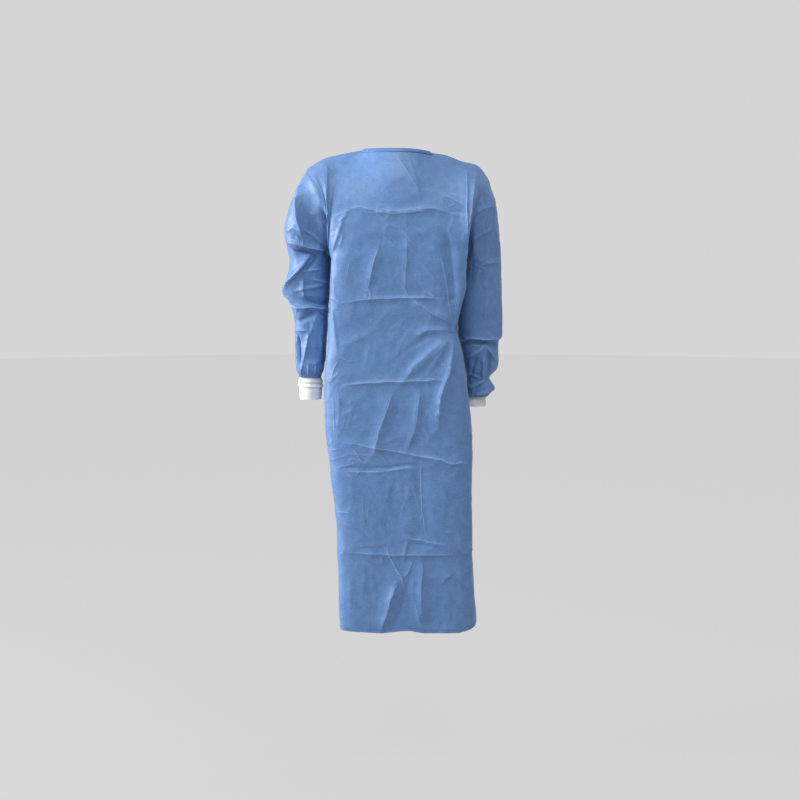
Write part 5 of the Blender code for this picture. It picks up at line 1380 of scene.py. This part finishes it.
def make_neck_tab(body, cloth, thread):
    """Touch-fasten tab that joins the two backs just below the neck's binding."""
    outer, outer_ways = body["back_panel_left"]
    inner, inner_ways = body["back_panel_right"]
    step = np.linalg.norm(outer[-1, -1] - outer[-2, -1])
    high = outer.shape[0] - 1 - TAB_DROP / step
    low = high - TAB_HEIGHT / step
    end = outer.shape[1] - 1.0
    start = column_at(outer, high, outer[int(high), -1, 0] + TAB_LENGTH / 2)
    over = on_cloth(outer, outer_ways, low, high, np.linspace(start, end, 9), 9, TAB_LIFT)
    near = column_at(inner, high, over[4, -1, 0] - 0.006)
    far = column_at(inner, high, over[4, -1, 0] - TAB_LENGTH / 2)
    under = on_cloth(inner, inner_ways, low, high, np.linspace(near, far, 9), 9, TAB_LIFT)
    net = np.concatenate([over, under], axis=1)
    ways = ways_of(net)
    tab = dress_piece(lay_cloth("neck_tab_strip", net, ways, STRIP, cloth), "gown_cloth", "neck_tab")
    seams = np.concatenate([net[1, 1:8], net[1:-1, 7], net[-2, 1:8][::-1], net[1:-1, 1][::-1]])
    seam_ways = np.concatenate([ways[1, 1:8], ways[1:-1, 7], ways[-2, 1:8][::-1], ways[1:-1, 1][::-1]])
    stitches = dress_piece(sew("neck_tab_stitches", seams, seam_ways, thread, 0.0026, 0.0018), "gown_cloth")


def make_hem_seam(body, thread):
    """Stitching a little above the hem, on all three panels."""
    for name in ("front_panel", "back_panel_left", "back_panel_right"):
        net, ways = body[name]
        row = row_at(net, net.shape[1] // 2, HEM_Z + HEM_STITCH)
        columns = np.arange(1.0, net.shape[1] - 1.5, 1.0)
        line = on_cloth(net, ways, row, row, columns, 1, 0.0001)[0]
        out = read_net(ways, np.full(len(columns), row), columns)
        dress_piece(sew(name + "_hem_stitches", line, out, thread), "gown_cloth")


def new_group(name, inputs, outputs):
    group = bpy.data.node_groups.new(name, "ShaderNodeTree")
    for label, kind in inputs:
        group.interface.new_socket(name=label, in_out="INPUT", socket_type=kind)
    for label, kind in outputs:
        group.interface.new_socket(name=label, in_out="OUTPUT", socket_type=kind)
    return group, group.nodes.new("NodeGroupInput"), group.nodes.new("NodeGroupOutput")


def node(tree, kind, inputs=None, **settings):
    """A shader node with its settings, and its inputs given as values or as sockets to link."""
    made = tree.nodes.new(kind)
    for key, value in settings.items():
        setattr(made, key, value)
    for key, value in (inputs or {}).items():
        if isinstance(value, bpy.types.NodeSocket):
            tree.links.new(value, made.inputs[key])
        else:
            made.inputs[key].default_value = value
    return made


def calc(tree, operation, a, b, clamp=False):
    return node(tree, "ShaderNodeMath", {0: a, 1: b}, operation=operation, use_clamp=clamp).outputs[0]


def nonwoven_group():
    """Pressed fibres, clouding and bond points of a spunbonded cloth, on its own map in metres."""
    group, inside, outside = new_group(
        "nonwoven", [("Map", "NodeSocketVector")],
        [("Tone", "NodeSocketFloat"), ("Height", "NodeSocketFloat")])
    spot = inside.outputs["Map"]
    turned = node(group, "ShaderNodeMapping", {"Vector": spot, "Rotation": (0, 0, 0.6), "Scale": (1.0, 0.28, 1.0)})
    fibres = node(group, "ShaderNodeTexNoise", {"Vector": turned.outputs[0], "Scale": 900.0, "Detail": 3.0, "Distortion": 0.6})
    mottle = node(group, "ShaderNodeTexNoise", {"Vector": spot, "Scale": 260.0, "Detail": 2.0, "Roughness": 0.7})
    cloud = node(group, "ShaderNodeTexNoise", {"Vector": spot, "Scale": 46.0, "Detail": 4.0, "Roughness": 0.65})
    diamond = node(group, "ShaderNodeMapping", {"Vector": spot, "Rotation": (0, 0, math.pi / 4)})
    bonds = node(group, "ShaderNodeTexVoronoi", {"Vector": diamond.outputs[0], "Scale": 520.0, "Randomness": 0.05})
    dot = node(group, "ShaderNodeMapRange", {
        "Value": bonds.outputs["Distance"], "From Min": 0.20, "From Max": 0.34, "To Min": 1.0, "To Max": 0.0})
    tone = calc(group, "SUBTRACT", 0.5, calc(group, "MULTIPLY", dot.outputs[0], 0.10))
    for texture, share in ((fibres, 0.8), (mottle, 1.3), (cloud, 1.1)):
        uneven = calc(group, "SUBTRACT", texture.outputs["Fac"], 0.5)
        tone = calc(group, "ADD", tone, calc(group, "MULTIPLY", uneven, share))
    height = calc(group, "SUBTRACT", calc(group, "MULTIPLY", fibres.outputs["Fac"], 0.6), calc(group, "MULTIPLY", dot.outputs[0], 0.5))
    height = calc(group, "ADD", height, calc(group, "MULTIPLY", mottle.outputs["Fac"], 1.2))
    group.links.new(tone, outside.inputs["Tone"])
    group.links.new(height, outside.inputs["Height"])
    return group


def knit_group():
    """Ribs and small loops of a knit, on its own map in metres."""
    group, inside, outside = new_group(
        "rib_knit", [("Map", "NodeSocketVector")],
        [("Tone", "NodeSocketFloat"), ("Height", "NodeSocketFloat")])
    spot = inside.outputs["Map"]
    loops = node(group, "ShaderNodeTexWave", {"Vector": spot, "Scale": 150.0, "Distortion": 0.8, "Detail": 1.0},
                 wave_type="BANDS", bands_direction="Y")
    ribs = node(group, "ShaderNodeTexWave", {"Vector": spot, "Scale": 190.0, "Distortion": 0.3}, wave_type="BANDS", bands_direction="X")
    fuzz = node(group, "ShaderNodeTexNoise", {"Vector": spot, "Scale": 700.0, "Detail": 2.0})
    both = calc(group, "ADD", calc(group, "MULTIPLY", loops.outputs["Fac"], 0.4), calc(group, "MULTIPLY", ribs.outputs["Fac"], 0.4))
    both = calc(group, "ADD", both, calc(group, "MULTIPLY", fuzz.outputs["Fac"], 0.2), True)
    group.links.new(both, outside.inputs["Tone"])
    group.links.new(both, outside.inputs["Height"])
    return group


def crease_line(tree):
    """Thin painted highlight line along each crease's crest, from the marks that the cloth carries."""
    crest = node(tree, "ShaderNodeAttribute", attribute_name="crest").outputs["Fac"]
    gap = node(tree, "ShaderNodeAttribute", attribute_name="gap").outputs["Fac"]
    away = calc(tree, "ABSOLUTE", gap, 0.0)
    near = node(tree, "ShaderNodeMapRange", {
        "Value": away, "From Min": 0.0, "From Max": CREST_LINE, "To Min": 1.0, "To Max": 0.0}, interpolation_type="SMOOTHSTEP")
    return calc(tree, "MULTIPLY", near.outputs[0], crest)


def cloth_material(name, group, deep, light, roughness, bump, sheen):
    """A cloth's finish: its texture moves the colour between deep and light, and a highlight painted along the creases
    makes them paler.
    """
    material = bpy.data.materials.new(name)
    material.use_nodes = True
    tree = material.node_tree
    shader = tree.nodes["Principled BSDF"]
    cloth_map = node(tree, "ShaderNodeUVMap", uv_map="cloth")
    effect = tree.nodes.new("ShaderNodeGroup")
    effect.node_tree = group
    tree.links.new(cloth_map.outputs["UV"], effect.inputs["Map"])
    # Painted highlight: a thin paler line along crease crests, and paler lines along the web of fine creases
    line = crease_line(tree)
    pale = node(tree, "ShaderNodeAttribute", attribute_name="pale").outputs["Fac"]
    body = node(tree, "ShaderNodeMix", {"Factor": effect.outputs["Tone"]}, data_type="RGBA")
    body.inputs["A"].default_value = deep
    body.inputs["B"].default_value = light
    # Mix toward the paler highlight colour where the painted highlight lies
    painted_crease_highlight = calc(tree, "MULTIPLY", calc(tree, "ADD", line, pale), PAINTED_HIGHLIGHT_SHARE, True)
    colour = node(tree, "ShaderNodeMix", {"Factor": painted_crease_highlight}, data_type="RGBA")
    tree.links.new(body.outputs["Result"], colour.inputs["A"])
    colour.inputs["B"].default_value = CREST_HIGHLIGHT_BLUE
    tree.links.new(colour.outputs["Result"], shader.inputs["Base Color"])
    rough = node(tree, "ShaderNodeMapRange", {
        "Value": effect.outputs["Tone"], "To Min": roughness - 0.05, "To Max": roughness + 0.05})
    tree.links.new(rough.outputs[0], shader.inputs["Roughness"])
    height = calc(tree, "ADD", effect.outputs["Height"], calc(tree, "MULTIPLY", line, CREST_BUMP))
    relief = node(tree, "ShaderNodeBump", {"Height": height, "Strength": 1.0, "Distance": bump})
    tree.links.new(relief.outputs["Normal"], shader.inputs["Normal"])
    shader.inputs["Sheen Weight"].default_value = sheen
    shader.inputs["Sheen Roughness"].default_value = 0.4
    return material


def make_floor():
    mesh = bmesh.new()
    bmesh.ops.create_circle(mesh, cap_ends=True, segments=96, radius=FLOOR_RADIUS)
    bmesh.ops.translate(mesh, verts=mesh.verts[:], vec=(0, 0, FLOOR_Z))
    data = bpy.data.meshes.new("floor")
    mesh.to_mesh(data)
    mesh.free()
    material = bpy.data.materials.new("studio_floor")
    material.use_nodes = True
    tree = material.node_tree
    shader = tree.nodes["Principled BSDF"]
    spot = node(tree, "ShaderNodeTexCoord").outputs["Object"]
    grain = node(tree, "ShaderNodeTexNoise", {"Vector": spot, "Scale": 3.0, "Detail": 2.0})
    tone = node(tree, "ShaderNodeMix", {"Factor": grain.outputs["Fac"]}, data_type="RGBA")
    tone.inputs["A"].default_value = (FLOOR_TONE * 0.99,) * 3 + (1,)
    tone.inputs["B"].default_value = (FLOOR_TONE * 1.01,) * 3 + (1,)
    tree.links.new(tone.outputs["Result"], shader.inputs["Base Color"])
    shader.inputs["Roughness"].default_value = 0.95
    shader.inputs["Specular IOR Level"].default_value = 0.1
    shader.inputs["Emission Color"].default_value = (1.0, 1.0, 1.0, 1.0)
    shader.inputs["Emission Strength"].default_value = FLOOR_GLOW
    data.materials.append(material)
    floor = bpy.data.objects.new("floor", data)
    bpy.context.scene.collection.objects.link(floor)


def aim(thing, at, target):
    thing.location = at
    thing.rotation_euler = (Vector(target) - Vector(at)).to_track_quat("-Z", "Y").to_euler()


def softbox(name, at, size, power):
    light = bpy.data.lights.new(name, "AREA")
    light.shape = "SQUARE"
    light.size = size
    light.energy = power
    thing = bpy.data.objects.new(name, light)
    bpy.context.scene.collection.objects.link(thing)
    aim(thing, at, LIGHT_AIM)


def make_studio():
    make_floor()
    for name, at, size, power in SOFTBOXES:
        softbox(name, at, size, power)
    world = bpy.data.worlds.new("studio")
    world.use_nodes = True
    tree = world.node_tree
    tree.nodes.clear()
    seen = node(tree, "ShaderNodeBackground", {"Color": (BACKDROP,) * 3 + (1,), "Strength": 1.0})
    glow = node(tree, "ShaderNodeBackground", {"Color": WORLD_COLOUR, "Strength": WORLD_STRENGTH})
    path = node(tree, "ShaderNodeLightPath")
    choice = node(tree, "ShaderNodeMixShader", {0: path.outputs["Is Camera Ray"]})
    tree.links.new(glow.outputs[0], choice.inputs[1])
    tree.links.new(seen.outputs[0], choice.inputs[2])
    out = node(tree, "ShaderNodeOutputWorld")
    tree.links.new(choice.outputs[0], out.inputs[0])
    bpy.context.scene.world = world
    data = bpy.data.cameras.new("photo_camera")
    data.lens = LENS
    data.sensor_width = SENSOR
    camera = bpy.data.objects.new("photo_camera", data)
    bpy.context.scene.collection.objects.link(camera)
    aim(camera, CAMERA_AT, CAMERA_AIM)
    bpy.context.scene.camera = camera
    bpy.context.scene.view_settings.view_transform = "Standard"


def main():
    make_studio()
    nonwoven = nonwoven_group()
    cloth = cloth_material("gown_nonwoven", nonwoven, DEEP_BLUE, LIGHT_BLUE, CLOTH_ROUGHNESS, 0.00012, 0.10)
    strip = cloth_material("binding_nonwoven", nonwoven, DEEP_STRIP, LIGHT_STRIP, CLOTH_ROUGHNESS, 0.00012, 0.10)
    knit = cloth_material("cuff_knit", knit_group(), KNIT_SHADE, KNIT_LIGHT, 0.9, 0.0004, 0.3)
    thread = cloth_material("blue_thread", nonwoven, DEEP_STRIP, LIGHT_BLUE, 0.7, 0.00005, 0.2)
    body = make_body(cloth)
    panels = [bpy.data.objects[name + "_cloth"] for name in ("front_panel", "back_panel_left", "back_panel_right")]
    make_cuffs(knit, thread)
    make_binding(body, panels, strip, thread)
    make_ties(body, cloth, thread)
    make_neck_tab(body, cloth, thread)
    make_hem_seam(body, thread)


main()
